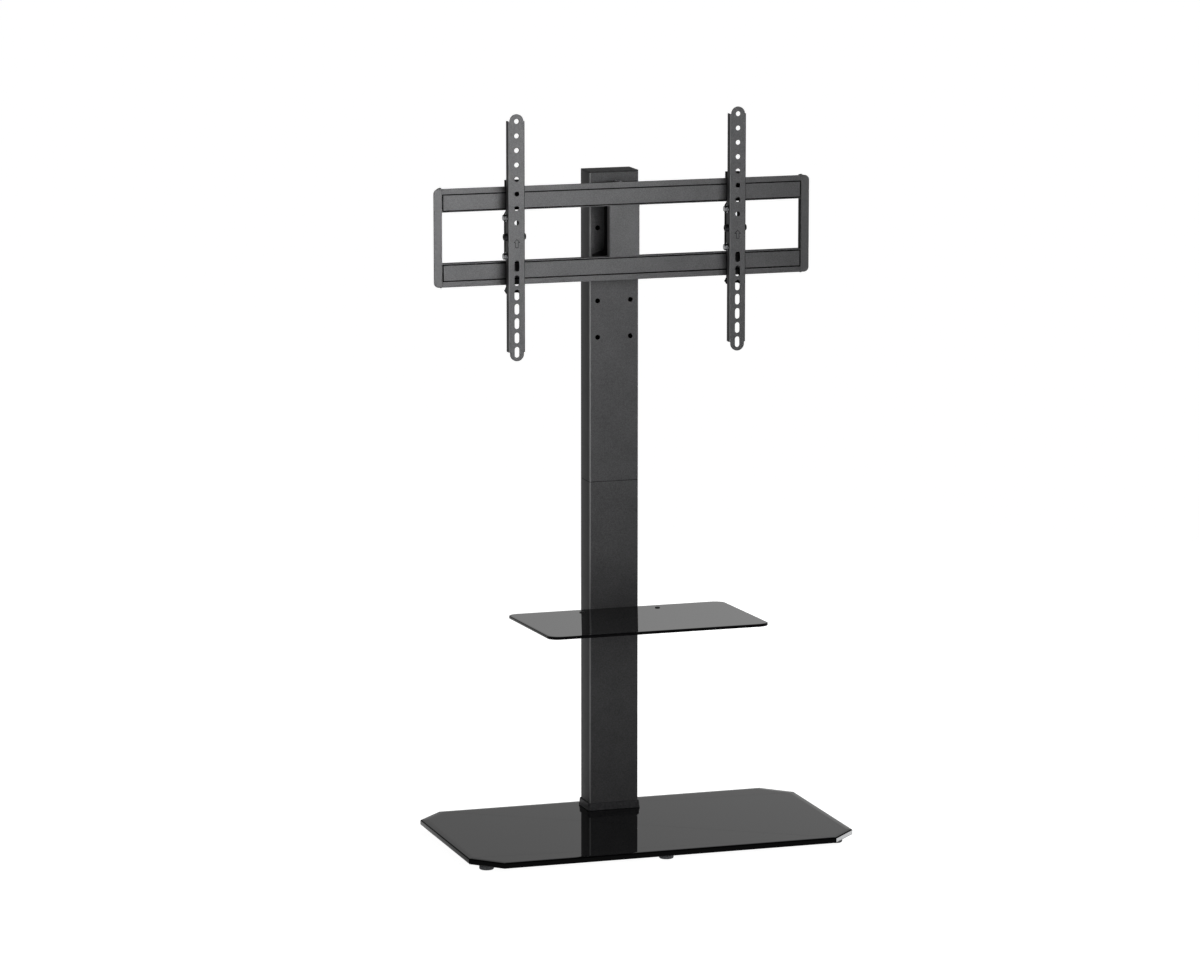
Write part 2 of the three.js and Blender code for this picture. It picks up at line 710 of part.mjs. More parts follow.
// Pivot bolts of the swivel, the upper one as drawn and the lower one turned over
function makeSwivelPins() {
  const group = new THREE.Group();
  const earThickness = bracketThickness;
  const headUnderside = bracketHeight / 2 + seat;
  const washerTop = bracketHeight / 2 - bracketThickness - seat;
  const nutTop = swivelStack - earThickness - seat;
  const boltLength = headUnderside - nutTop + swivelNutHeight + boltTip;
  const bolt = hexBolt(swivelBoltRadius, swivelBoltHeadAcross, swivelBoltHeadHeight, boltLength);
  const washer = cut(rodZ(swivelWasherRadius, washerTop - swivelWasherThickness, washerTop),
    rodZ(swivelBoltRadius + boltClearance, washerTop - swivelWasherThickness - overrun,
      washerTop + overrun));
  const nut = moved(hexNut(swivelBoltRadius, swivelBoltHeadAcross, swivelNutHeight), 0, 0,
    nutTop - swivelNutHeight);
  for (const [name, turn] of [['upper', 0], ['lower', Math.PI]]) {
    const stack = new THREE.Group();
    stack.position.set(0, swivelY, headZ);
    stack.rotation.x = turn;
    stack.add(piece(`swivel_bolt_${name}`, moved(bolt, 0, 0, headUnderside), zinc));
    stack.add(piece(`swivel_washer_${name}`, washer, nylon));
    stack.add(piece(`swivel_nut_${name}`, nut, zinc));
    group.add(stack);
  }
  return group;
}

// Bent channel in plan, open toward the back, between two heights
function channelBody(half, front, back, corner, z0, z1) {
  const shape = new THREE.Shape();
  shape.absarc(-half + corner, front + corner, corner, Math.PI, 1.5 * Math.PI);
  shape.absarc(half - corner, front + corner, corner, 1.5 * Math.PI, 2 * Math.PI);
  shape.lineTo(half, back);
  shape.lineTo(half - headWall, back);
  shape.lineTo(half - headWall, front + headWall);
  shape.lineTo(-half + headWall, front + headWall);
  shape.lineTo(-half + headWall, back);
  shape.lineTo(-half, back);
  shape.closePath();
  return moved(prismZ(shape, z0, z1), headOffset, 0, 0);
}

// Swivel head: a shallow channel flush with the rails between them, on a narrower one that
// reaches back to the pads behind them
function headBody() {
  const half = headWidth / 2;
  const front = railFront;
  const back = swivelY - headRearGap;
  const webHalf = railInnerEdge - seat;
  const padFront = railBack + seat;
  const face = channelBody(half, front, front + headSideDepth, headCorner, -webHalf, webHalf);
  const neck = channelBody(half - headNeckInset, front + headWall / 2, back, headCorner,
    -swivelStack, swivelStack);
  const bodies = [face, neck];
  const cutters = [];
  for (const side of [-1, 1]) {
    const [z0, z1] = side < 0 ? [-swivelStack, -webHalf] : [webHalf, swivelStack];
    cutters.push(box([-half - overrun, half + overrun], [front - overrun, padFront],
      side < 0 ? [z0 - overrun, z1] : [z0, z1 + overrun]));
    bodies.push(box([-half + headWall / 2, half - headWall / 2], [padFront, padFront + headWall], [z0, z1]));
    const [e0, e1] = side < 0 ? [z0, z0 + bracketThickness] : [z1 - bracketThickness, z1];
    bodies.push(eyePlate(headEarWidth, padFront + headWall / 2, padFront + headWall + swivelEarRoot / 2, e0, e1));
  }
  const shell = cut(join(...bodies), ...cutters);
  const holes = railScrewPlaces.map(([x, z]) => rodY(railScrewRadius + boltClearance,
    padFront - overrun, padFront + headWall + overrun, x, z));
  return moved(cut(shell, ...holes), 0, 0, headZ);
}

const railBoxMiddle = (railInnerEdge + railBoxOuter) / 2;
const railScrewPlaces = [-1, 1].flatMap((level) => [-1, 1].map((side) =>
  [side * railScrewSpacing / 2, level * railBoxMiddle]));

// Upper rail section in depth and height from the frame's middle: box with a hook flange above,
// and two pressed grooves that leave the raised middle band between them
function railSection() {
  const top = frameHeight / 2;
  const outer = railBoxOuter;
  const inner = railInnerEdge;
  const g1 = top - railGrooveFromHook;
  const g2 = g1 - railGrooveWidth;
  const g4 = inner + railLipHeight;
  const g3 = g4 + railGrooveWidth;
  const deep = railGrooveDepth;
  const behind = railWall + railGrooveDepth;
  const shape = polygon([
    [0, top], [0, g1], [deep, g1], [deep, g2], [0, g2], [0, g3], [deep, g3], [deep, g4], [0, g4],
    [0, inner], [railDepth, inner], [railDepth, outer], [railWall, outer], [railWall, top],
  ]);
  shape.holes.push(polygon([
    [behind, outer - railWall], [railDepth - railWall, outer - railWall],
    [railDepth - railWall, inner + railWall], [behind, inner + railWall],
    [behind, g3 + railWall], [railWall, g3 + railWall], [railWall, g2 - railWall], [behind, g2 - railWall],
  ]));
  return shape;
}

function railBody() {
  const half = railLength / 2;
  const bar = prismX(railSection(), -half, half);
  const bandTop = frameHeight / 2 - railGrooveFromHook;
  const bandBottom = railInnerEdge + railLipHeight;
  const endCuts = [-1, 1].map((side) => {
    const [x0, x1] = side < 0 ? [-half - overrun, -half + railGrooveWidth]
      : [half - railGrooveWidth, half + overrun];
    return box([x0, x1], [-overrun, railGrooveDepth], [bandBottom, bandTop]);
  });
  const holes = [-1, 1].map((side) => rodY(railScrewRadius + boltClearance,
    railDepth - railWall - overrun, railDepth + overrun, side * railScrewSpacing / 2, railBoxMiddle));
  return cut(bar, ...endCuts, ...holes);
}

// End cap: one upright joining both rail ends, its outer side sloping back from a thin rim, with
// a hollow plug into each rail
function endCapOutline(inset, setback = 0) {
  const half = frameHeight / 2 - inset;
  const outer = frameWidth / 2 - inset - setback;
  const inner = frameWidth / 2 - endCapWidth + inset;
  const radius = Math.min(endCapCorner - inset, (outer - inner) * endCapBackRound);
  const shape = new THREE.Shape();
  shape.moveTo(inner, -half);
  shape.lineTo(outer - radius, -half);
  shape.absarc(outer - radius, -half + radius, radius, 1.5 * Math.PI, 2 * Math.PI);
  shape.absarc(outer - radius, half - radius, radius, 0, Math.PI / 2);
  shape.lineTo(inner, half);
  shape.closePath();
  return shape;
}

function endCapBody() {
  const half = frameHeight / 2;
  const inner = frameWidth / 2 - endCapWidth;
  const upright = loft([
    { shape: endCapOutline(endCapEdgeRound), z: 0 },
    { shape: endCapOutline(0), z: endCapEdgeRound },
    { shape: endCapOutline(0), z: endCapRimDepth },
    { shape: endCapOutline(0, endCapBackSlope), z: railDepth },
  ], wideArcSegments).rotate([90, 0, 0]).translate([0, railDepth, 0]);

  const plugFront = railWall + railGrooveDepth + seat;
  const plugBack = railDepth - railWall - seat;
  const plugOuter = railBoxOuter - railWall - seat;
  const plugInner = railInnerEdge + railWall + seat;
  const bodies = [upright];
  for (const side of [-1, 1]) {
    const [z0, z1] = side < 0 ? [-plugOuter, -plugInner] : [plugInner, plugOuter];
    const plug = box([inner - endCapPlugLength, inner + endCapEdgeRound + overrun], [plugFront, plugBack], [z0, z1]);
    const hollow = box([inner - endCapPlugLength - overrun, inner - endCapPlugWall],
      [plugFront + endCapPlugWall, plugBack - endCapPlugWall], [z0 + endCapPlugWall, z1 - endCapPlugWall]);
    bodies.push(cut(plug, hollow));
    const [n0, n1] = side < 0 ? [-half - endCapNubHeight, -half + endCapNubHeight]
      : [half - endCapNubHeight, half + endCapNubHeight];
    bodies.push(box([inner, inner + endCapNubWidth],
      [railDepth / 4, railDepth / 2], [n0, n1]));
  }
  return join(...bodies);
}

function makeFrame() {
  const group = new THREE.Group();
  const padBack = railBack + seat + headWall;
  group.add(piece('swivel_head', headBody(), powderCoat));

  const front = new THREE.Group();
  front.position.set(0, railFront, headZ);
  front.add(piece('upper_rail', railBody(), railCoat));
  front.add(piece('lower_rail', railBody().mirror([0, 0, 1]), railCoat));
  front.add(piece('end_cap_right', endCapBody(), blackPlastic));
  front.add(piece('end_cap_left', endCapBody().mirror([1, 0, 0]), blackPlastic));
  group.add(front);

  const length = seat + headWall + seat + railWall + boltTip;
  const body = screw(railScrewRadius, railScrewHeadRadius, railScrewHeadHeight, length);
  railScrewPlaces.forEach(([x, z], place) => {
    const mesh = piece(`rail_screw_${place + 1}`, body, blackSteel);
    mesh.rotation.x = -Math.PI / 2;
    mesh.position.set(x, padBack + seat, headZ + z);
    group.add(mesh);
  });
  return group;
}

// Arm, around its tilt axis: front face toward -Y, hole grid centred on the axis
const armFace = -tiltAxisDepth;

function armFlangeOutline() {
  const reach = armPatternHeight / 2;
  const back = armFace + armFlangeDepth;
  const lugBack = armFace + armLugDepth;
  const lug = armLugHeight / 2;
  return polygon([
    [armFace + armWall / 2, -reach], [back, -reach], [back, -lug - armLugSlope], [lugBack, -lug],
    [lugBack, lug], [back, lug + armLugSlope], [back, reach], [armFace + armWall / 2, reach],
  ]);
}

function armWebBody() {
  const half = armWidth / 2;
  const reach = armPatternHeight / 2;
  const shape = new THREE.Shape();
  shape.absarc(-half + armBend, armFace + armBend, armBend, Math.PI, 1.5 * Math.PI);
  shape.absarc(half - armBend, armFace + armBend, armBend, 1.5 * Math.PI, 2 * Math.PI);
  shape.lineTo(half, armFace + armFlangeDepth);
  shape.lineTo(half - armWall, armFace + armFlangeDepth);
  shape.lineTo(half - armWall, armFace + armWall);
  shape.lineTo(-half + armWall, armFace + armWall);
  shape.lineTo(-half + armWall, armFace + armFlangeDepth);
  shape.lineTo(-half, armFace + armFlangeDepth);
  shape.closePath();
  const tailEnd = -reach - armTailDrop;
  const ends = [reach, tailEnd].map((z) => rodY(armLobeRadius, armFace, armFace + armWall, 0, z, 2 * holeSides));
  ends.push(box([-armLobeRadius, armLobeRadius], [armFace, armFace + armWall], [tailEnd, -reach + armWall]));
  return join(prismZ(shape, -reach, reach), ...ends);
}

function slotShape(radius, length) {
  const straight = length / 2 - radius;
  const shape = new THREE.Shape();
  shape.absarc(0, straight, radius, 0, Math.PI);
  shape.absarc(0, -straight, radius, Math.PI, 2 * Math.PI);
  shape.closePath();
  return shape;
}

function armBody() {
  const half = armWidth / 2;
  const flanges = [[-half, -half + armWall], [half - armWall, half]]
    .map(([x0, x1]) => cut(prismX(armFlangeOutline(), x0, x1),
      box([x0 - overrun, x1 + overrun], [armFace - overrun, armFace + armBend],
        [-armPatternHeight, armPatternHeight])));
  const through = [armFace - overrun, armFace + armWall + overrun];
  const cutters = [];
  for (let hole = 0; hole < armHoleCount; hole += 1) {
    cutters.push(rodY(armHoleRadius, ...through, 0, armPatternHeight / 2 - hole * armHolePitch, holeSides));
  }
  for (let slot = 0; slot < armSlotCount; slot += 1) {
    cutters.push(moved(prismY(slotShape(armHoleRadius, armSlotLength), ...through, holeSides / 4),
      0, 0, -armPatternHeight / 2 + slot * armHolePitch));
  }
  cutters.push(rodX(tiltBoltRadius + boltClearance, -half - overrun, half + overrun));
  for (const side of [-1, 1]) {
    cutters.push(rodX(lockBoltRadius + boltClearance, -half - overrun, -half + armWall + overrun,
      lockBoltSetback, side * lockBoltOffset));
  }
  return cut(join(armWebBody(), ...flanges), ...cutters);
}

// Hanger, around the same axis: two side plates with a hook bar, a middle web and a screw tab
function hangerSideOutline() {
  const top = frameHeight / 2 + hangerTopRise;
  const bottom = -frameHeight / 2 - hangerTailDrop;
  const lobe = bottom + hangerTailLobe;
  const face = railFaceFromTilt - hookPlay;
  const bulge = face + hangerBulge;
  const tail = face + hangerTailReach;
  const edge = railInnerEdge - hookPlay;
  const lobeRound = hangerTailLobe / 3;
  return polygon([
    [-hangerNose, 0], [topNose, top], [hookBack, top], [hookBack, frameHeight / 2 - hookDrop],
    [hookFront, frameHeight / 2 - hookDrop], [hookFront, frameHeight / 2 + hookPlay],
    [face, frameHeight / 2 + hookPlay], [face, edge], [bulge, edge - hangerBulgeSlope],
    [bulge, -edge + hangerBulgeSlope], [face, -edge], [face, lobe], [tail - lobeRound, lobe],
    [tail, lobe - lobeRound], [tail, bottom + lobeRound], [tail - lobeRound, bottom],
    [tailNose, bottom],
  ]);
}

// The front edge of the side plates leans back so that the arm can tilt both ways past it
const hangerReachUp = frameHeight / 2 + hangerTopRise;
const hangerReachDown = frameHeight / 2 + hangerTailDrop;
const topNose = -hangerNose + hangerReachUp * Math.tan(tiltBack + tiltSlotSpare / 2);
const tailNose = -hangerNose + hangerReachDown * Math.tan(tiltForward + tiltSlotSpare / 2);

function hookOutline() {
  const top = hangerReachUp;
  const under = frameHeight / 2 + hookPlay;
  return polygon([
    [topNose, top], [topNose, under], [hookFront, under], [hookFront, frameHeight / 2 - hookDrop],
    [hookBack, frameHeight / 2 - hookDrop], [hookBack, top],
  ]);
}

// Front of the side plate at a height below the axis
const noseBelow = (drop) => -hangerNose + (tailNose + hangerNose) * drop / hangerReachDown;
const noseAbove = (rise) => -hangerNose + (topNose + hangerNose) * rise / hangerReachUp;

function lockSlot(side) {
  const start = Math.atan2(side * lockBoltOffset, lockBoltSetback);
  const from = start - tiltBack - tiltSlotSpare;
  const to = start + tiltForward + tiltSlotSpare;
  const radius = Math.hypot(lockBoltOffset, lockBoltSetback);
  const half = lockBoltRadius + boltClearance;
  const at = (angle) => [radius * Math.cos(angle), radius * Math.sin(angle)];
  const shape = new THREE.Shape();
  shape.absarc(0, 0, radius + half, from, to);
  shape.absarc(...at(to), half, to, to + Math.PI);
  shape.absarc(0, 0, radius - half, to, from, true);
  shape.absarc(...at(from), half, from + Math.PI, from + 2 * Math.PI);
  shape.closePath();
  return prismX(shape, -hangerHalfWidth - overrun, hangerHalfWidth + overrun);
}

const safetyScrewY = railFaceFromTilt + railWall + safetyScrewPlay + safetyScrewRadius;
const tabBottom = -hangerReachDown + hangerTabRise;

function hangerBody() {
  const half = hangerHalfWidth;
  const sides = [[-half, -half + hangerWall], [half - hangerWall, half]]
    .map(([x0, x1]) => prismX(hangerSideOutline(), x0, x1));
  const hook = prismX(hookOutline(), -half, half);
  const web = prismX(polygon([
    [-hangerNose, 0], [noseBelow(hangerWebBelow), -hangerWebBelow],
    [noseBelow(hangerWebBelow) + hangerWall, -hangerWebBelow], [-hangerNose + hangerWall, 0],
    [noseAbove(hangerWebAbove) + hangerWall, hangerWebAbove], [noseAbove(hangerWebAbove), hangerWebAbove],
  ]), -half, half);
  const tabTop = tabBottom + hangerTabThickness;
  const tab = box([-half, half], [tailNose, safetyScrewY + safetyScrewHeadRadius], [tabBottom, tabTop]);
  return cut(join(...sides, hook, web, tab),
    rodX(tiltBoltRadius + boltClearance, -half - overrun, half + overrun),
    lockSlot(-1), lockSlot(1),
    rodZ(safetyScrewRadius + boltClearance, tabBottom - overrun, tabTop + overrun, 0, safetyScrewY));
}

function makeHangerAndArm(name, x) {
  const group = new THREE.Group();
  group.position.set(x, tiltY, headZ);
  group.add(piece(`hanger_${name}`, hangerBody(), powderCoat));
  const screwTop = -railBoxOuter - safetyScrewTipGap;
  const safety = screw(safetyScrewRadius, safetyScrewHeadRadius, safetyScrewHeadHeight,
    screwTop - tabBottom + seat);
  const safetyMesh = piece(`safety_screw_${name}`, safety, zinc);
  safetyMesh.rotation.x = Math.PI;
  safetyMesh.position.set(0, safetyScrewY, tabBottom - seat);
  group.add(safetyMesh);

  group.add(piece(`arm_${name}`, armBody(), railCoat));
  const outside = armWidth / 2 + seat;
  const tiltLength = armWidth + 2 * seat + tiltNutHeight + tiltBoltTip;
  const tiltBolt = screw(tiltBoltRadius, tiltBoltHeadRadius, tiltBoltHeadHeight, tiltLength);
  const boltMesh = piece(`tilt_bolt_${name}`, tiltBolt, blackSteel);
  boltMesh.rotation.y = -Math.PI / 2;
  boltMesh.position.x = -outside;
  const nutMesh = piece(`tilt_nut_${name}`, hexNut(tiltBoltRadius, tiltNutAcross, tiltNutHeight), blackSteel);
  nutMesh.rotation.y = Math.PI / 2;
  nutMesh.position.x = outside;
  group.add(boltMesh, nutMesh);

  const lockLength = seat + armWall + hangerSideGap + hangerWall + boltTip;
  const washer = rodZ(lockWasherRadius, 0, lockWasherThickness);
  const head = rodZ(hexRadius(lockBoltHeadAcross), lockWasherThickness / 2,
    lockWasherThickness + lockBoltHeadHeight, 0, 0, hexSides);
  const lockBolt = join(washer, head, rodZ(lockBoltRadius, -lockLength, lockWasherThickness / 2));
  for (const [level, side] of [['lower', -1], ['upper', 1]]) {
    const mesh = piece(`lock_bolt_${name}_${level}`, lockBolt, zinc);
    mesh.rotation.y = -Math.PI / 2;
    mesh.position.set(-outside, lockBoltSetback, side * lockBoltOffset);
    group.add(mesh);
  }
  return group;
}

// Whole stand
const stand = new THREE.Group();
stand.name = 'tv_floor_stand';
stand.add(makeBase(), makeFeet(), makeColumn(), makeShelf(), makeBracket(), makeSwivelPins());
stand.add(makeFrame());
stand.add(makeHangerAndArm('left', -armSpacing / 2), makeHangerAndArm('right', armSpacing / 2));

export default stand;
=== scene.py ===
"""Looks of a floor stand for a flat television: black glass base and shelf, powder coated column,
swivelling rail frame and two slotted mounting arms. Metres, +Z up, front faces -Y."""

import logging
import math
from dataclasses import dataclass, field, replace
from enum import Enum
from typing import Callable, ClassVar, Iterable, Optional, Union

import bmesh
import bpy
import numpy as np
from bpy.types import Camera, Light, Material, Mesh, Node, NodeSocket, NodeTree, Object, Scene
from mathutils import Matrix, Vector


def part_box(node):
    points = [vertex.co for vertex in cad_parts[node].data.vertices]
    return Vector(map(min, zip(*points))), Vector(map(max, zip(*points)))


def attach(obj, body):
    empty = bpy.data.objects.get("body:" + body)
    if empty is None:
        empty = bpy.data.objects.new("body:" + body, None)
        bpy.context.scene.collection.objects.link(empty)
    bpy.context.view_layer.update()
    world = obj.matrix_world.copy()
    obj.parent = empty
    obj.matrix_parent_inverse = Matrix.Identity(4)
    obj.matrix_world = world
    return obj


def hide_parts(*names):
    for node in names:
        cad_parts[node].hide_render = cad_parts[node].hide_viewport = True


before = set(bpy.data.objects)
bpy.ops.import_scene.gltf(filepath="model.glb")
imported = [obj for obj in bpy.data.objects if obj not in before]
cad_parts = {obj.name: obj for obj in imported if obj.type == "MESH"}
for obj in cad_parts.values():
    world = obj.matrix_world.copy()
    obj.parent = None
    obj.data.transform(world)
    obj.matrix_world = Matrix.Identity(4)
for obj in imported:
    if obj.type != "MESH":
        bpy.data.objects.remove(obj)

log = logging.getLogger("stand")
MM = 0.001
GLASS_IOR = 1.52
TO_LEFT, TO_RIGHT, TO_FRONT, TO_BACK = (-1, 0, 0), (1, 0, 0), (0, -1, 0), (0, 1, 0)
DOWN, UP = (0, 0, -1), (0, 0, 1)


class Side(Enum):
    """The two arms of the mount, by the viewer's left and right."""

    LEFT = -1
    RIGHT = 1

    @property
    def word(self) -> str:
        """The side's name as it stands in node and body names."""
        return self.name.lower()


class Drive(Enum):
    """The recess in the head of a screw."""

    NONE = "none"
    CROSS = "cross"
    HEX_SOCKET = "hex socket"


# --- Colour and shader nodes ---


def linear(colour: str) -> tuple[float, float, float, float]:
    """An sRGB hex colour as linear values.

    Args:
        colour: Six hex digits with a leading #.

    Returns:
        Red, green, blue and an alpha of 1.
    """
    parts = np.array([int(colour[i:i + 2], 16) for i in (1, 3, 5)]) / 255
    values = np.where(parts <= 0.04045, parts / 12.92, ((parts + 0.055) / 1.055) ** 2.4)
    return (*map(float, values), 1.0)


def feed(tree: NodeTree, node: Node, inputs: dict) -> Node:
    """Sets a node's inputs, by name or number: an output socket is linked, a value is set.

    Args:
        tree: Node tree of the node.
        node: The node.
        inputs: Socket name or number to an output socket or a value.

    Returns:
        The node.
    """
    for socket, value in inputs.items():
        if isinstance(value, NodeSocket):
            tree.links.new(value, node.inputs[socket])
        else:
            node.inputs[socket].default_value = value
    return node


def add_node(tree: NodeTree, kind: str, inputs: Optional[dict] = None,
             **settings: object) -> Node:
    """Adds a shader node.

    Args:
        tree: Node tree that takes the node.
        kind: Node type, without the leading ShaderNode.
        inputs: What goes into its sockets; see feed.
        **settings: Attributes of the node itself.

    Returns:
        The new node.
    """
    made = tree.nodes.new("ShaderNode" + kind)
    for name, value in settings.items():
        setattr(made, name, value)
    return feed(tree, made, inputs or {})


def maths(tree: NodeTree, operation: str, *values: object) -> NodeSocket:
    """One step of arithmetic in a node tree.

    Args:
        tree: Node tree that takes the node.
        operation: The node's operation.
        *values: Numbers or sockets that it works on.

    Returns:
        The result.
    """
    return add_node(tree, "Math", dict(enumerate(values)), operation=operation).outputs[0]


def new_material(name: str) -> tuple[Material, NodeTree, Node]:
    """An empty node material.

    Args:
        name: The finish's name.

    Returns:
        The material, its tree and its Principled shader.
    """
    material = bpy.data.materials.new(name)
    material.use_nodes = True
    tree = material.node_tree
    tree.nodes.clear()
    shader = add_node(tree, "BsdfPrincipled")
    add_node(tree, "OutputMaterial", {"Surface": shader.outputs[0]})
    return material, tree, shader


def object_noise(tree: NodeTree, size: float, detail: float = 2.0,
                 seed: float = 0.0) -> NodeSocket:
    """Noise that lies still on the piece, because it reads Object coordinates.

    Args:
        tree: Node tree.
        size: Real size of one grain, in metres.
        detail: Octaves of finer noise.
        seed: Shift in metres, so that two noises differ.

    Returns:
        The noise value, about 0.3 to 0.7.
    """
    place = add_node(tree, "TexCoord").outputs["Object"]
    shifted = add_node(tree, "Mapping", {"Vector": place, "Location": (seed, seed / 2, seed / 3)})
    return add_node(tree, "TexNoise", {"Vector": shifted.outputs[0], "Scale": 1 / size,
                                       "Detail": detail}).outputs[0]


def between(tree: NodeTree, value: NodeSocket, low: float, high: float) -> NodeSocket:
    """Stretches a noise value from 0.3..0.7 to low..high."""
    spread = add_node(tree, "MapRange", {0: value, 1: 0.3, 2: 0.7, 3: low, 4: high})
    return spread.outputs[0]


def mixed(tree: NodeTree, share: NodeSocket, dark: str, light: str) -> NodeSocket:
    """Mixes two sRGB colours by a share from 0 to 1."""
    mix = add_node(tree, "Mix", {0: share, 6: linear(dark), 7: linear(light)}, data_type="RGBA")
    return mix.outputs[2]


def bumped(tree: NodeTree, height: NodeSocket, distance: float, strength: float) -> NodeSocket:
    """The normal of a surface that a height moves by at most a distance."""
    bump = add_node(tree, "Bump", {"Height": height, "Distance": distance, "Strength": strength})
    return bump.outputs[0]


# --- Finishes ---


@dataclass(frozen=True)
class PowderCoat:
    """Epoxy-polyester powder, sprayed and baked on steel. The skin is a fine sand grain: a satin
    black whose tiny humps scatter soft highlights. The humps are also painted a little paler, a
    painted highlight that follows the bump's noise, and a slow cloud varies the tone at random."""

    name: str = "black_powder_coat"
    dark: str = "#404041"
    light: str = "#555556"
    smooth: float = 0.44
    rough: float = 0.58
    specular: float = 0.05
    grain: float = 1.5 * MM      # real grain is about 0.4 mm; drawn coarser so that it shows
    relief: float = 0.05 * MM
    cloud: float = 45 * MM

    def build(self) -> Material:
        """Makes the material.

        Returns:
            The finished material.
        """
        material, tree, shader = new_material(self.name)
        grain = object_noise(tree, self.grain, detail=3.0)
        cloud = object_noise(tree, self.cloud, detail=1.0, seed=0.31)
        # the grain that raises the bump also paints the humps paler, a painted highlight; the cloud
        # adds random tone
        painted_hump_highlight_and_cloud = add_node(tree, "Math", {0: between(tree, grain, 0.0, 0.8),
                                       1: between(tree, cloud, 0.0, 0.2)},
                        operation="ADD", use_clamp=True)
        feed(tree, shader, {"Base Color": mixed(tree, painted_hump_highlight_and_cloud.outputs[0], self.dark, self.light),
                            "Roughness": between(tree, grain, self.smooth, self.rough),
                            "Specular IOR Level": self.specular,
                            "Normal": bumped(tree, grain, self.relief, 0.8)})
        return material


@dataclass(frozen=True)
class MouldedPlastic:
    """ABS moulded against a spark-eroded die: an even matt leather-fine grain, a little glossier
    than the coated steel beside it."""

    name: str = "moulded_black_abs"
    dark: str = "#38383a"
    light: str = "#474748"
    smooth: float = 0.38
    rough: float = 0.5
    ior: float = 1.53
    specular: float = 0.05
    grain: float = 0.9 * MM
    relief: float = 0.03 * MM

    def build(self) -> Material:
        """Makes the material.

        Returns:
            The finished material.
        """
        material, tree, shader = new_material(self.name)
        place = add_node(tree, "TexCoord").outputs["Object"]
        cells = add_node(tree, "TexVoronoi", {"Vector": place, "Scale": 1 / self.grain}).outputs[0]
        grain = object_noise(tree, self.grain * 4, detail=4.0, seed=0.7)
        feed(tree, shader, {"Base Color": mixed(tree, between(tree, grain, 0.0, 1.0),
                                                self.dark, self.light),
                            "Roughness": between(tree, grain, self.smooth, self.rough),
                            "IOR": self.ior, "Specular IOR Level": self.specular,
                            "Normal": bumped(tree, cells, self.relief, 0.6)})
        return material


@dataclass(frozen=True)
class BlackGlass:
    """Toughened float glass, fired black on its underside and polished on its faces: near black
    itself, it shows the room as a mirror at a low angle. The faint uneven gloss is wiping haze."""

    name: str
    colour: str = "#060607"
    clear: float = 0.012
    hazy: float = 0.035
    haze: float = 60 * MM

    def build(self) -> Material:
        """Makes the material.

        Returns:
            The finished material.
        """
        material, tree, shader = new_material(self.name)
        haze = object_noise(tree, self.haze, detail=4.0)
        feed(tree, shader, {"Base Color": linear(self.colour), "IOR": GLASS_IOR,
                            "Roughness": between(tree, haze, self.clear, self.hazy)})
        return material


@dataclass(frozen=True)
class GroundGlassEdge:
    """The ground edge of the glass: black in depth, with fine grinding marks that widen its
    highlights."""

    name: str
    colour: str = "#050506"
    smooth: float = 0.08
    rough: float = 0.22
    specular: float = 0.03
    mark: float = 0.8 * MM

    def build(self) -> Material:
        """Makes the material.

        Returns:
            The finished material.
        """
        material, tree, shader = new_material(self.name)
        marks = object_noise(tree, self.mark, detail=2.0)
        feed(tree, shader, {"Base Color": linear(self.colour), "IOR": GLASS_IOR,
                            "Specular IOR Level": self.specular,
                            "Roughness": between(tree, marks, self.smooth, self.rough)})
        return material


@dataclass(frozen=True)
class PlatedMetal:
    """Steel hardware with a thin bath finish, bright zinc or black oxide. The plate is slightly
    cloudy, so its gloss and tone wander over a few millimetres."""

    name: str
    dark: str
    light: str
    smooth: float
    rough: float
    metallic: float = 1.0
    cloud: float = 2.4 * MM

    def build(self) -> Material:
        """Makes the material.

        Returns:
            The finished material.
        """
        material, tree, shader = new_material(self.name)
        cloud = object_noise(tree, self.cloud, detail=3.0)
        feed(tree, shader, {"Metallic": self.metallic,
                            "Base Color": mixed(tree, between(tree, cloud, 0.0, 1.0),
                                                self.dark, self.light),
                            "Roughness": between(tree, cloud, self.smooth, self.rough),
                            "Normal": bumped(tree, cloud, 0.02 * MM, 0.4)})
        return material


@dataclass(frozen=True)
class Rubber:
    """Moulded elastomer, dull and slightly dusty: very rough with a paler bloom in patches."""

    name: str
    dark: str
    light: str
    rough: float = 0.85
    bloom: float = 5 * MM

    def build(self) -> Material:
        """Makes the material.

        Returns:
            The finished material.
        """
        material, tree, shader = new_material(self.name)
        bloom = object_noise(tree, self.bloom, detail=5.0)
        feed(tree, shader, {"Base Color": mixed(tree, between(tree, bloom, 0.0, 1.0),
                                                self.dark, self.light),
                            "Roughness": between(tree, bloom, self.rough - 0.12, self.rough),
                            "Normal": bumped(tree, bloom, 0.04 * MM, 0.5)})
        return material


Finish = Union[PowderCoat, MouldedPlastic, BlackGlass, GroundGlassEdge, PlatedMetal, Rubber]


def built(finish: Finish) -> Material:
    """A dataclass field that holds the material which a finish makes."""
    return field(default_factory=finish.build)


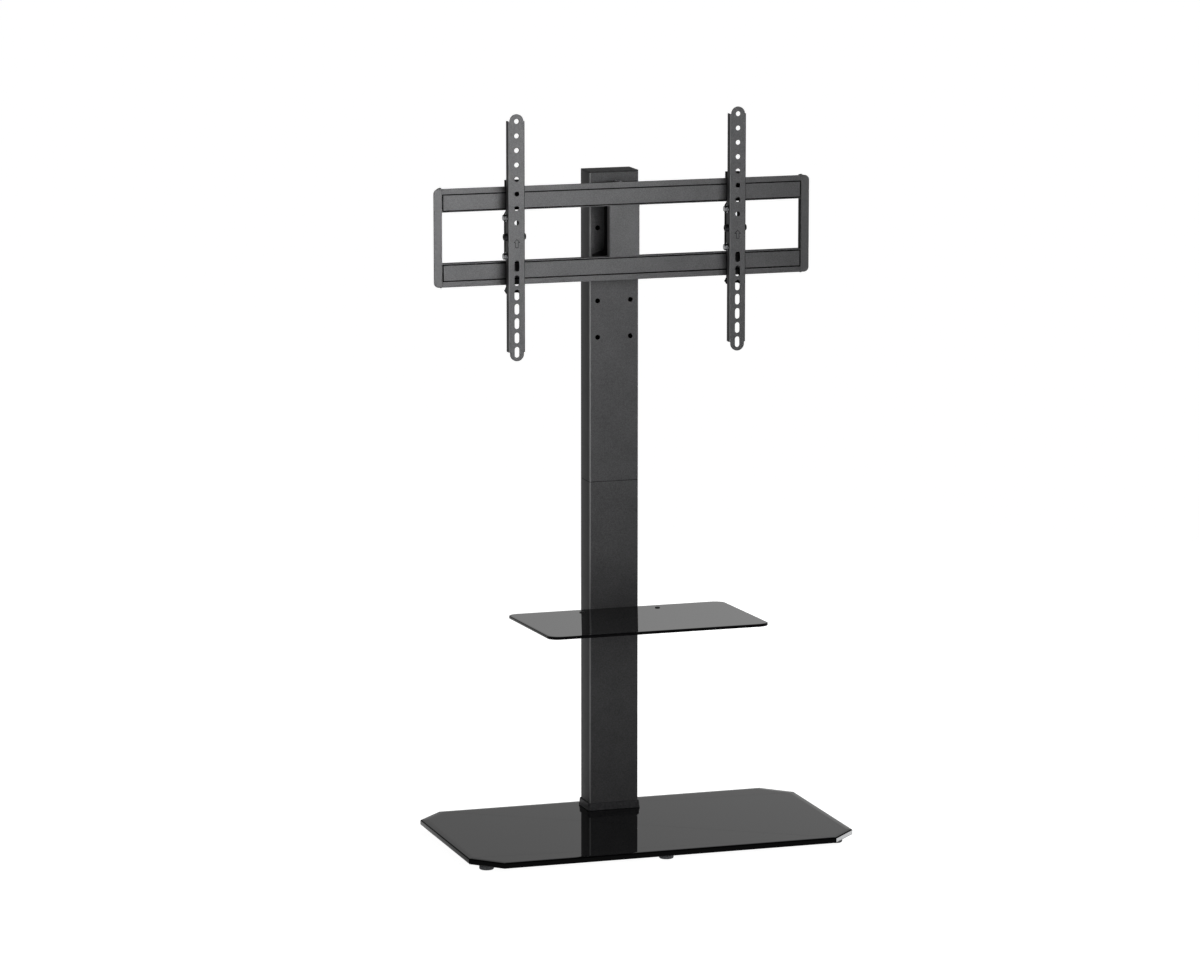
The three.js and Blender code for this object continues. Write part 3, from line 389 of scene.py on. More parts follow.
@dataclass
class Finishes:
    """Every finish on the stand, made once and shared by its pieces. Some are painted light and
    shade: a lighter coat for the mount, darker and near-black coats for shade, a paler glossy coat
    for highlights on bends, a lighter zinc for a glint and a darker coat on the stamped arrow. The
    lit cut is the facet of the base glass that throws the light back, drawn with the metal's
    shader: a painted highlight."""

    coat: Material = built(PowderCoat())
    # the same black powder coat as the column's, painted lighter for the light on the mount:
    # painted light
    coat_painted_lighter: Material = built(PowderCoat("black_powder_coat_on_mount", "#4a4a4b", "#606061"))
    plastic: Material = built(MouldedPlastic())
    lid_plastic: Material = built(MouldedPlastic("moulded_black_abs_lid", "#292a2a", "#343435"))
    cap_plastic: Material = built(MouldedPlastic("moulded_black_abs_end_caps",
                                                 "#565657", "#5d5d5e"))
    glass: Material = built(BlackGlass("black_toughened_glass"))
    shelf_glass: Material = built(BlackGlass("dark_toughened_shelf_glass", "#070708"))
    glass_edge: Material = built(GroundGlassEdge("ground_glass_edge"))
    zinc: Material = built(PlatedMetal("bright_zinc_plate", "#606162", "#88898b", 0.16, 0.28))
    # a lighter copy of the zinc above, for the pivot bolts' glint: painted highlight
    zinc_painted_bright: Material = built(PlatedMetal("zinc_plate_painted_bright", "#b4b5b7", "#cfd0d2", 0.16, 0.28))
    oxide: Material = built(PlatedMetal("black_oxide_steel", "#1c1c1d", "#2c2c2e", 0.32, 0.5, 0.85))
    glass_screw: Material = built(PlatedMetal("black_oxide_worn_bright",
                                              "#727273", "#8c8c8d", 0.3, 0.45))
    feet: Material = built(Rubber("grey_rubber_foot", "#56575a", "#6e6f72"))
    gasket: Material = built(Rubber("black_rubber_gasket", "#161617", "#222223"))
    nylon: Material = built(Rubber("natural_nylon", "#cfcfc6", "#e2e2da", 0.6))
    # darker coat on the stamped arrow, standing in for the shade of its relief: painted shade
    mark: Material = built(PowderCoat("powder_coat_in_stamping", "#202021", "#2c2c2d"))
    # near-black coat for grooves, holes, insides and faces that lie in shade: painted shade
    painted_deep_shade: Material = built(PowderCoat("powder_coat_in_groove",
                                        "#060606", "#0d0d0d", specular=0.02))
    # darker copy of the powder coat for the hangers and the wall bracket, which lie in shade:
    # painted shade
    painted_shade_coat: Material = built(PowderCoat("powder_coat_on_hangers",
                                        "#1c1c1d", "#262627", 0.6, 0.7, 0.01))
    # paler, glossier coat for the bends that face the left and the front: painted highlight
    bend: Material = built(PowderCoat("powder_coat_thin_on_bend",
                                      "#6c6c6d", "#7a7a7b", 0.3, 0.4, 0.5))
    # bright metal shader for one cut face of the glass: painted highlight
    painted_highlight_cut: Material = built(PlatedMetal("glass_cut_painted_highlight",
                                          "#a2a3a4", "#b2b3b4", 0.1, 0.2, 0.9))


# --- Surfaces worked out with numpy ---


def circle(radius: float, count: int = 48) -> np.ndarray:
    """Points (r cos t, r sin t) for t evenly spread over one turn."""
    turn = np.arange(count) * 2 * math.pi / count
    return radius * np.stack([np.cos(turn), np.sin(turn)], 1)


def hexagon_reach(angles: np.ndarray, across: float) -> np.ndarray:
    """Distance to a hexagon's side in each direction: half the width across flats over the cosine
    of the angle from the nearest flat's middle."""
    third = math.pi / 3
    return across / 2 / np.cos((angles + third / 2) % third - third / 2)


def rounded_outline(corners: np.ndarray, radii: Iterable[float], steps: int = 8) -> np.ndarray:
    """A polygon with round corners. Each corner becomes an arc that touches both sides, found from
    the directions of its sides: the arc's centre lies on their bisector at radius over sine of the
    half angle, and the arc turns evenly from one side's normal to the other's.

    Args:
        corners: Corner points in order, counter-clockwise, n x 2.
        radii: Radius at each corner.
        steps: Points per arc, less one.

    Returns:
        The outline, n * (steps + 1) x 2, counter-clockwise.
    """
    corners = np.asarray(corners, float)
    radii = np.broadcast_to(np.asarray(list(radii), float), len(corners))
    before = corners - np.roll(corners, 1, 0)
    after = np.roll(corners, -1, 0) - corners
    before /= np.linalg.norm(before, axis=1)[:, None]
    after /= np.linalg.norm(after, axis=1)[:, None]
    start = np.arctan2(-before[:, 0], before[:, 1])
    turn = np.arctan2(before[:, 0] * after[:, 1] - before[:, 1] * after[:, 0],
                      (before * after).sum(1))
    inward = after - before
    inward /= np.linalg.norm(inward, axis=1)[:, None]
    centre = corners + inward * (radii / np.cos(turn / 2))[:, None]
    angles = start[:, None] + turn[:, None] * np.linspace(0, 1, steps + 1)
    arcs = centre[:, None] + radii[:, None, None] * np.stack([np.cos(angles), np.sin(angles)], -1)
    return arcs.reshape(-1, 2)


def rectangle(width: float, depth: float) -> np.ndarray:
    """Corners of a rectangle about the origin, counter-clockwise."""
    return np.array([[-1, -1], [1, -1], [1, 1], [-1, 1]]) * np.array([width, depth]) / 2


def inset_outline(outline: np.ndarray, distance: float) -> np.ndarray:
    """Moves a closed outline inwards. Each point moves along the mitre of its two sides' normals,
    the sum of the normals over one plus their dot product, so straight sides stay parallel.

    Args:
        outline: Points counter-clockwise, n x 2.
        distance: How far each side moves in; below zero it moves out.

    Returns:
        The moved outline, n x 2.
    """
    side = np.roll(outline, -1, 0) - outline
    normal = np.stack([-side[:, 1], side[:, 0]], 1)
    normal /= np.maximum(np.linalg.norm(normal, axis=1), 1e-12)[:, None]
    last = np.roll(normal, 1, 0)
    mitre = (normal + last) / (1 + (normal * last).sum(1))[:, None]
    return outline + distance * mitre


def level(outline: np.ndarray, height: float) -> np.ndarray:
    """An outline at a height, as a ring n x 3."""
    return np.column_stack([outline, np.full(len(outline), height)])


def stack(outlines: Iterable[np.ndarray], heights: Iterable[float]) -> np.ndarray:
    """Outlines of equal count, each at its height, as rings k x n x 3."""
    return np.stack([level(o, h) for o, h in zip(outlines, heights)])


def inset_rings(outline: np.ndarray, levels: Iterable[tuple[float, float]]) -> np.ndarray:
    """Rings of one outline, each moved in and raised by its level's inset and height."""
    insets, heights = zip(*levels)
    return stack([inset_outline(outline, i) for i in insets], heights)


def rounded_edge(depth: float, height: float, steps: int = 4) -> tuple[np.ndarray, np.ndarray]:
    """A quarter-round edge: inset d (1 - cos t) at height h - d (1 - sin t), for t from 0 to a
    quarter turn, read from the side wall up to the top face.

    Args:
        depth: Radius of the edge.
        height: Height of the top face.
        steps: Segments in the quarter turn.

    Returns:
        The insets and the heights, from the wall to the face.
    """
    turn = np.linspace(0, math.pi / 2, steps + 1)
    return depth * (1 - np.cos(turn)), height - depth * (1 - np.sin(turn))


@dataclass
class Surface:
    """A closed surface: vertices and faces, which can be joined with others before it is made."""

    points: np.ndarray
    faces: list

    @classmethod
    def from_rings(cls, rings: np.ndarray, hold: float = 0.97) -> "Surface":
        """Joins rings into a skin and closes both ends with a flat face. Just inside each end's
        rim runs one more ring, the rim drawn in, which keeps the flat face's shading flat.

        Args:
            rings: k x n x 3, each ring counter-clockwise seen from the side that the rings rise to.
            hold: Share to which the extra ring is drawn in.

        Returns:
            The closed surface.
        """
        ends = [(r - r.mean(0)) * hold + r.mean(0) for r in (rings[0], rings[-1])]
        rings = np.concatenate([ends[:1], rings, ends[1:]])
        count, around = rings.shape[:2]
        index = np.arange(count * around).reshape(count, around)
        caps = [index[0, ::-1].tolist(), index[-1].tolist()]
        return cls(rings.reshape(-1, 3), cls._quads(index[:-1], index[1:]) + caps)

    @classmethod
    def from_loop(cls, rings: np.ndarray) -> "Surface":
        """Joins rings into a skin whose last ring meets its first, as a tube's wall does.

        Args:
            rings: k x n x 3.

        Returns:
            The closed surface.
        """
        count, around = rings.shape[:2]
        index = np.arange(count * around).reshape(count, around)
        return cls(rings.reshape(-1, 3), cls._quads(index, np.roll(index, -1, 0)))

    @staticmethod
    def _quads(low: np.ndarray, high: np.ndarray) -> list:
        """Faces between rows of point numbers and the rows above them."""
        quads = np.stack([low, np.roll(low, -1, 1), np.roll(high, -1, 1), high], -1)
        return quads.reshape(-1, 4).tolist()

    def __add__(self, other: "Surface") -> "Surface":
        """Both surfaces as one piece.

        Args:
            other: The surface that joins this one.

        Returns:
            The joined surface.
        """
        shift = len(self.points)
        return Surface(np.vstack([self.points, other.points]),
                       self.faces + [[i + shift for i in f] for f in other.faces])

    def changed(self, change: Callable[[np.ndarray], np.ndarray]) -> "Surface":
        """The surface with its points passed through a function."""
        return Surface(change(self.points), self.faces)

    def pointing(self, origin: Iterable[float], direction: Iterable[float]) -> "Surface":
        """Turns +Z to a direction and moves the origin to a place.

        Args:
            origin: Where the local origin goes.
            direction: Where local +Z points.

        Returns:
            The placed surface.
        """
        turn = np.array(Vector(direction).to_track_quat("Z", "Y").to_matrix())
        return self.changed(lambda p: p @ turn.T + np.asarray(list(origin), float))


@dataclass
class Workshop:
    """Turns surfaces and CAD nodes into pieces that ride on their bodies."""

    made: int = 0

    def piece(self, name: str, surface: Surface, finish: Material, body: str, slot: str,
              *nodes: str, sharp: float = 32.0) -> Object:
        """Makes an object from a surface.

        Args:
            name: Piece name.
            surface: Its closed surface, in the stand's frame.
            finish: Material.
            body: CAD body that it rides on.
            slot: Name of a material slot; not used.
            *nodes: CAD nodes that it stands for.
            sharp: Edges over this angle in degrees stay sharp.

        Returns:
            The object.
        """
        mesh = bpy.data.meshes.new(name)
        mesh.from_pydata(surface.points.tolist(), [], surface.faces)
        mesh.validate()
        return self._finish(name, mesh, finish, body, nodes, sharp)

    def pressed(self, name: str, node: str, finish: Material, body: str, slot: str,
                edge: float = 0.35 * MM) -> Object:
        """A copy of a CAD node with its loose triangles merged, flat areas made whole and every
        sharp edge broken by a small radius, as deburred and coated sheet metal has.

        Args:
            name: Piece name.
            node: CAD node that is copied and hidden.
            finish: Material.
            body: CAD body that it rides on.
            slot: Name of a material slot; not used.
            edge: Radius of the broken edges.

        Returns:
            The object.
        """
        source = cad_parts[node].data
        mesh = bpy.data.meshes.new(name)
        mesh.from_pydata([v.co[:] for v in source.vertices], [],
                         [p.vertices[:] for p in source.polygons])
        shape = bmesh.new()
        shape.from_mesh(mesh)
        bmesh.ops.remove_doubles(shape, verts=shape.verts, dist=0.002 * MM)
        bmesh.ops.dissolve_limit(shape, angle_limit=math.radians(0.8),
                                 verts=shape.verts, edges=shape.edges)
        shape.to_mesh(mesh)
        shape.free()
        mesh.materials.clear()
        made = self._finish(name, mesh, finish, body, (node,), 180.0)
        broken = made.modifiers.new("broken_edges", "BEVEL")
        broken.width, broken.segments, broken.limit_method = edge, 2, "ANGLE"
        broken.angle_limit, broken.harden_normals = math.radians(32), True
        return made

    def fasten(self, name: str, node: str, hardware: Union["Fastener", "Nut"],
               towards: tuple[int, int, int], finish: Material, body: str, slot: str) -> Object:
        """A bolt, screw or nut as long as its CAD node, on the axis through the node's middle.

        Args:
            name: Piece name.
            node: CAD node that it stands for.
            hardware: Its shape, of any length.
            towards: Where the head, or the nut's far face, points: along X, Y or Z.
            finish: Material.
            body: CAD body that it rides on.
            slot: Name of a material slot; not used.

        Returns:
            The object.
        """
        low, high = (np.array(corner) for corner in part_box(node))
        axis, ahead = int(np.argmax(np.abs(towards))), sum(towards) > 0
        place = (low + high) / 2
        place[axis] = (high if ahead == hardware.from_head else low)[axis]
        shape = replace(hardware, length=high[axis] - low[axis]).surface()
        return self.piece(name, shape.pointing(place, towards), finish, body, slot, node)

    def _finish(self, name: str, mesh: Mesh, finish: Material, body: str,
                nodes: Iterable[str], sharp: float) -> Object:
        """Shades, dresses and seats a mesh.

        Args:
            name: Piece name.
            mesh: Its mesh.
            finish: Material.
            body: CAD body that it rides on.
            nodes: CAD nodes that it stands for.
            sharp: Edges over this angle in degrees stay sharp.

        Returns:
            The object.
        """
        mesh.name = name
        mesh.shade_smooth()
        if sharp < 180:
            mesh.set_sharp_from_angle(angle=math.radians(sharp))
        mesh.materials.append(finish)
        made = bpy.data.objects.new(name, mesh)
        bpy.context.scene.collection.objects.link(made)
        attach(made, body)
        if nodes:
            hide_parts(*nodes)
        self.made += 1
        log.info("%s rides on %s, %d points", name, body, len(mesh.vertices))
        return made


def faces_of(mesh: Mesh) -> tuple[np.ndarray, np.ndarray]:
    """Middles and normals of a mesh's faces.

    Args:
        mesh: The mesh.

    Returns:
        Middles and normals, each n x 3.
    """
    values = []
    for name in ("center", "normal"):
        flat = np.empty(len(mesh.polygons) * 3)
        mesh.polygons.foreach_get(name, flat)
        values.append(flat.reshape(-1, 3))
    return values[0], values[1]


def dress_faces(mesh: Mesh, finish: Material, chosen: np.ndarray) -> None:
    """Gives some faces a finish of their own.

    Args:
        mesh: The mesh.
        finish: Material, which is added to the mesh.
        chosen: True for each face that gets it.
    """
    mesh.materials.append(finish)
    index = np.empty(len(mesh.polygons), np.int32)
    mesh.polygons.foreach_get("material_index", index)
    index[chosen] = len(mesh.materials) - 1
    mesh.polygons.foreach_set("material_index", index)


def centre_of(node: str) -> np.ndarray:
    """Middle of a CAD node's box, in metres."""
    low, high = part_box(node)
    return (np.array(low) + np.array(high)) / 2


# --- Fasteners ---


@dataclass
class Fastener:
    """A bolt or screw along +Z: the top of its head at the origin and its shank below."""

    from_head: ClassVar[bool] = True
    shank: float
    head: float
    head_height: float
    hexagonal: bool = False
    washer: float = 0.0
    washer_height: float = 0.0
    drive: Drive = Drive.NONE
    length: float = 0.0
    around: int = 72

    def surface(self) -> Surface:
        """The whole fastener. Each ring holds the radius at every angle. On a hexagon head it is
        the lesser of the hexagon's reach and a cone, which leaves the usual arcs on the flats; the
        recess in a round head sinks points by a smooth step of their distance to its outline.

        Returns:
            The closed surface.
        """
        angle = np.arange(self.around) * 2 * math.pi / self.around
        tall, unit = self.head_height, circle(1.0, self.around)
        tip, seat = min(0.6 * MM, self.shank * 0.25), -tall - self.washer_height
        low = [(self.shank - tip, -self.length), (self.shank, -self.length + tip),
               (self.shank, seat)]
        if self.washer:
            edge = 0.2 * MM
            low += [(self.washer - edge, seat), (self.washer, seat + edge),
                    (self.washer, -tall - edge), (self.washer - edge, -tall)]
        rings = [level(circle(r, self.around), z) for r, z in low]
        if self.hexagonal:
            reach, flat, chamfer = hexagon_reach(angle, self.head), self.head / 2, 0.13 * self.head
            for z, cone in ((-tall, 1.2), (-chamfer * 1.6, 1.2), (-chamfer, 1.12),
                            (-chamfer * 0.5, 1.04), (0.0, 0.95)):
                rings.append(level(unit * np.minimum(reach, flat * cone)[:, None], z))
        else:
            for t in np.linspace(0.0, 1.0, 7):
                radius = self.head * (1 - 0.28 * t ** 2.2)
                rings.append(level(unit * radius, -tall + tall * math.sin(t * math.pi / 2) * 0.9))
        rings += self._recess(rings[-1], angle)
        return Surface.from_rings(np.stack(rings))

    def _recess(self, rim: np.ndarray, angle: np.ndarray) -> list[np.ndarray]:
        """Rings across the top of the head, down into its recess.

        Args:
            rim: Last ring of the head's side.
            angle: Angle of each point.

        Returns:
            The rings, from the rim to the middle.
        """
        radius = float(np.linalg.norm(rim[:, :2], axis=1).mean())
        top = float(rim[0, 2])
        crown = 0.0 if self.hexagonal else -top
        rings = []
        for share in (0.86, 0.7, 0.6, 0.56, 0.52, 0.46, 0.36, 0.24, 0.12, 0.03):
            flat = circle(1.0, self.around) * radius * share
            height = top + crown * (1 - share ** 2)
            if self.drive is Drive.CROSS:
                reach = np.minimum(np.abs(flat[:, 0]), np.abs(flat[:, 1])) - 0.11 * radius
                inside = np.clip(-reach / (0.05 * radius), 0, 1) * (share <= 0.6)
                deep = inside * 0.5 * self.head_height * min(1.0, (0.62 - share) * 6)
            elif self.drive is Drive.HEX_SOCKET:
                reach = hexagon_reach(angle, radius) - radius * share
                deep = np.clip(reach / (0.04 * radius), 0, 1) * 0.55 * self.head_height
            else:
                deep = 0.0
            rings.append(np.column_stack([flat, height - np.broadcast_to(deep, self.around)]))
        return rings


@dataclass
class Nut:
    """A hexagon nut round the Z axis, its lower face at the origin."""

    from_head: ClassVar[bool] = False
    bore: float
    across: float
    length: float = 0.0
    around: int = 72

    def surface(self) -> Surface:
        """The nut: an outer wall that is the lesser of hexagon and cone, and a bore.

        Returns:
            The closed surface.
        """
        reach = hexagon_reach(np.arange(self.around) * 2 * math.pi / self.around, self.across)
        flat, drop, top = self.across / 2, 0.09 * self.across, self.length
        unit = circle(1.0, self.around)
        outer = [level(unit * np.minimum(reach, flat * cone)[:, None], z) for z, cone in
                 ((0.0, 0.96), (drop * 0.5, 1.05), (drop, 1.2),
                  (top - drop, 1.2), (top - drop * 0.5, 1.05), (top, 0.96))]
        wide, soft = self.bore * 1.12, self.bore * 0.12
        inner = [level(unit * r, z) for z, r in
                 ((top, wide), (top - soft, self.bore), (soft, self.bore), (0.0, wide))]
        return Surface.from_loop(np.stack(outer + inner))


# Radii of shanks and round heads, widths across hexagons and heights of heads.
BASE_BOLT = Fastener(3 * MM, 5.5 * MM, 2.4 * MM, drive=Drive.HEX_SOCKET)
SHELF_BOLT = Fastener(3 * MM, 5.5 * MM, 3 * MM, drive=Drive.HEX_SOCKET)
GLASS_SCREW = Fastener(2.5 * MM, 4.5 * MM, 1.4 * MM, drive=Drive.CROSS)
PAN_SCREW = Fastener(2.5 * MM, 4.5 * MM, 2.4 * MM, drive=Drive.CROSS)
SAFETY_SCREW = Fastener(2.2 * MM, 4.5 * MM, 3.4 * MM, drive=Drive.CROSS)
COLUMN_BOLT = Fastener(4 * MM, 6.5 * MM, 4.4 * MM, drive=Drive.HEX_SOCKET)
SWIVEL_BOLT = Fastener(4 * MM, 13 * MM, 4.6 * MM, hexagonal=True)
SWIVEL_NUT = Nut(4.1 * MM, 13 * MM)
TILT_BOLT = Fastener(3 * MM, 6.5 * MM, 7.2 * MM, drive=Drive.HEX_SOCKET)
TILT_NUT = Nut(3.1 * MM, 10 * MM)
LOCK_BOLT = Fastener(3 * MM, 10 * MM, 5.6 * MM, hexagonal=True,
                     washer=7 * MM, washer_height=1.4 * MM)


# --- The stand ---


@dataclass
class GlassPlate:
    """A glass plate with ground, chamfered edges."""

    corners: np.ndarray
    radii: Iterable[float]
    thickness: float
    arris: float
    steps: int = 8

    def surface(self) -> Surface:
        """Levels of the outline: in by the arris at the bottom, out at the wall, in again at the
        top, each edge a 45 degree chamfer with softened ends.

        Returns:
            The closed surface.
        """
        outline = rounded_outline(self.corners, self.radii, self.steps)
        soft = self.arris * 0.18
        t, a = self.thickness, self.arris
        insets = [a + soft, a * 0.96, a * 0.04, 0.0, 0.0, a * 0.04, a * 0.96, a + soft]
        heights = [0.0, a * 0.04, a * 0.96, a + soft, t - a - soft, t - a * 0.96, t - a * 0.04, t]
        return Surface.from_rings(inset_rings(outline, zip(insets, heights)))

    def edge_faces(self, mesh: Mesh, finish: Material) -> None:
        """Gives every face but those that lie flat the ground edge's finish."""
        _, normals = faces_of(mesh)
        dress_faces(mesh, finish, np.abs(normals[:, 2]) < 0.99)


@dataclass
class BaseAssembly:
    """Glass base, its six feet, and the plate, gasket and bolts that hold the column to it."""

    shop: Workshop
    finishes: Finishes
    cut_along_width: float = 48.5 * MM
    cut_along_depth: float = 50 * MM
    corner_round: float = 1.0 * MM
    arris: float = 1.6 * MM
    foot_groove: float = 0.7 * MM

    def build(self) -> None:
        """Builds and dresses the base."""
        self._glass()
        for row in ("front", "rear"):
            for place in ("left", "middle", "right"):
                self._foot(f"foot_{row}_{place}")
        self.shop.pressed("underplate", "base_plate", self.finishes.coat, "stand", "powder_coat")
        self.shop.pressed("flange_gasket", "base_gasket", self.finishes.gasket,
                          "stand", "black_rubber", 0.1 * MM)
        for number in range(1, 5):
            self.shop.fasten(f"base_bolt_head_{number}", f"base_bolt_{number}", BASE_BOLT, DOWN,
                             self.finishes.oxide, "stand", "black_steel")

    def _glass(self) -> None:
        """The base glass: a rectangle with cut corners, of which the front right one is drawn with
        a bright metal shader as a painted highlight.
        """
        low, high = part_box("base_glass")
        w, d = high.x - low.x, high.y - low.y
        a, b = self.cut_along_width, self.cut_along_depth
        right = np.array([[w / 2 - a, -d / 2], [w / 2, -d / 2 + b],
                          [w / 2, d / 2 - b], [w / 2 - a, d / 2]])
        corners = np.roll(np.vstack([right, -right]), 1, 0)
        plate = GlassPlate(corners, [self.corner_round], high.z - low.z, self.arris, 3)
        made = self.shop.piece("glass_base", plate.surface().pointing((0, 0, low.z), UP),
                               self.finishes.glass, "stand", "black_glass", "base_glass", sharp=20)
        plate.edge_faces(made.data, self.finishes.glass_edge)
        _, normals = faces_of(made.data)
        cut = np.array([b, -a, 0.0]) / math.hypot(a, b)
        # only the front right cut face gets the bright metal shader: painted highlight
        dress_faces(made.data, self.finishes.painted_highlight_cut, normals @ cut > 0.995)

    def _foot(self, node: str) -> None:
        """One foot: a turned rubber puck, rounded below, with a groove under its rim.

        Args:
            node: CAD node that it stands for.
        """
        low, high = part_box(node)
        x, y, _ = centre_of(node)
        r, t, g = (high.x - low.x) / 2, high.z - low.z, self.foot_groove
        inset, height = rounded_edge(0.18 * r, 0.18 * r)
        profile = [(r - i, 0.18 * r - h) for i, h in zip(inset[::-1], height[::-1])]
        profile += [(r, t * 0.62), (r - g, t * 0.68), (r - g, t * 0.74), (r, t * 0.8),
                    (r, t - 0.4 * MM), (r - 0.4 * MM, t)]
        rings = stack([circle(p[0], 64) for p in profile], [p[1] for p in profile])
        self.shop.piece("rubber_" + node, Surface.from_rings(rings).pointing((x, y, low.z), UP),
                        self.finishes.feet, "stand", "grey_rubber", node)


@dataclass
class ColumnAssembly:
    """The two column tubes, their inner sleeve and screws, the collar at the foot and the cap."""

    shop: Workshop
    finishes: Finishes
    corner: float = 2.4 * MM
    collar_top: float = 2.6 * MM
    collar_bottom: float = 4.1 * MM
    collar_lip: float = 2.6 * MM
    collar_step: float = 0.8 * MM
    collar_clearance: float = 0.3 * MM
    flange_room: tuple[float, float] = (1.7 * MM, 5.6 * MM)
    cap_lid: float = 2.4 * MM
    cap_edge: float = 0.6 * MM
    cap_wall: float = 2.0 * MM
    seam_band: float = 0.3 * MM
    bend_lean: float = 0.15

    def build(self) -> None:
        """Builds and dresses the column."""
        for place in ("lower", "upper"):
            tube = self.shop.pressed("column_tube_" + place, place + "_column", self.finishes.coat,
                                     "stand", "powder_coat", 0.12 * MM)
            low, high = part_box(place + "_column")
            self._dress_tube(tube.data, high.z if place == "lower" else low.z)
        self.shop.pressed("column_sleeve", "column_splice", self.finishes.oxide,
                          "stand", "black_steel", 0.2 * MM)
        self._collar()
        self._cap()
        for place in ("lower", "upper"):
            self.shop.fasten("seam_screw_" + place, "splice_screw_" + place, PAN_SCREW, TO_BACK,
                             self.finishes.oxide, "stand", "black_steel")

    def _dress_tube(self, mesh: Mesh, seam: float) -> None:
        """Painted light on the tube: a paler, glossier coat on its left front bend as a painted
        highlight, and a near-black coat as painted shade on all that lies inside it and in its
        holes and on a fine band along the seam, which is first cut free of the faces beside it.

        Args:
            mesh: The tube's mesh.
            seam: Height of the tube's end at the seam.
        """
        low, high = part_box("upper_column")
        shape = bmesh.new()
        shape.from_mesh(mesh)
        for side in (-1, 1):
            bmesh.ops.bisect_plane(shape, geom=[*shape.verts, *shape.edges, *shape.faces],
                                   plane_co=(0, 0, seam + side * self.seam_band), plane_no=UP)
        shape.to_mesh(mesh)
        shape.free()
        middles, normals = faces_of(mesh)
        x, y, z = middles.T
        deep_x, deep_y = np.minimum(x - low.x, high.x - x), np.minimum(y - low.y, high.y - y)
        skin = 0.4 * MM
        inside = ((deep_x > skin) & (deep_y > skin)
                  & (np.maximum(deep_x, deep_y) > 1.2 * self.corner))
        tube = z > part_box("base_collar")[1].z
        band = np.abs(z - seam) < self.seam_band
        slanted = (normals[:, 0] < -self.bend_lean) & (normals[:, 1] < -self.bend_lean)
        bend = slanted & (x < low.x + self.corner) & ~inside
        # painted shade inside, in the holes and on the seam band; painted highlight on the left
        # front bend
        dress_faces(mesh, self.finishes.painted_deep_shade, (inside & tube) | band)
        dress_faces(mesh, self.finishes.bend, bend & tube & ~band)

    def _collar(self) -> None:
        """The collar: a wall that leans in as it rises, on an upright lip at the foot. Over the lip
        the overhang drops by a step, then falls to that of the top in proportion to the height;
        the inner wall follows the tube at a small clearance, wider round the tube's flange."""
        low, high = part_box("base_collar")
        x, y, _ = centre_of("base_collar")
        tube_low, tube_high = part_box("upper_column")
        w, d = tube_high.x - tube_low.x, tube_high.y - tube_low.y
        tall = high.z - low.z
        tube = rounded_outline(rectangle(w, d), [self.corner], 8)
        lip, step = self.collar_lip, self.collar_step
        share = np.linspace(0, 1, 5)
        over = self.collar_bottom - step + (self.collar_top - self.collar_bottom + step) * share
        heights = lip + step + (tall - lip - step - 0.8 * MM) * share
        foot, top, near = self.collar_bottom, self.collar_top, self.collar_clearance
        outer = [(foot - 0.4 * MM, 0.0), (foot, 0.4 * MM), (foot, lip),
                 (foot - 0.3 * step, lip + 0.6 * step), *zip(over, heights),
                 (top - 0.3 * MM, tall - 0.25 * MM), (top - 0.7 * MM, tall)]
        wide, high_up = self.flange_room
        inner = [(near, tall), (near, high_up), (wide, high_up - 0.2 * MM), (wide, 0.0)]
        rings = inset_rings(tube, [(-over, h) for over, h in outer + inner])
        self.shop.piece("column_collar", Surface.from_loop(rings).pointing((x, y, low.z), UP),
                        self.finishes.plastic, "stand", "black_plastic", "base_collar", sharp=40)

    def _cap(self) -> None:
        """The cap: a lid with a round upper edge on a skirt that plugs the tube."""
        low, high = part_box("top_cap")
        x, y, _ = centre_of("top_cap")
        w, d, tall = high.x - low.x, high.y - low.y, high.z - low.z
        tube = rounded_outline(rectangle(w, d), [self.corner], 8)
        inset, height = rounded_edge(self.cap_edge, tall)
        skirt, lid, round_by = self.cap_wall + 0.3 * MM, tall - self.cap_lid, 0.3 * MM
        levels = [(skirt, 0.0), (skirt, lid), (round_by, lid), (0.0, lid + round_by),
                  *zip(inset, height)]
        cap = Surface.from_rings(inset_rings(tube, levels)).pointing((x, y, low.z), UP)
        self.shop.piece("column_top_cap", cap, self.finishes.lid_plastic,
                        "stand", "black_plastic", "top_cap", sharp=40)


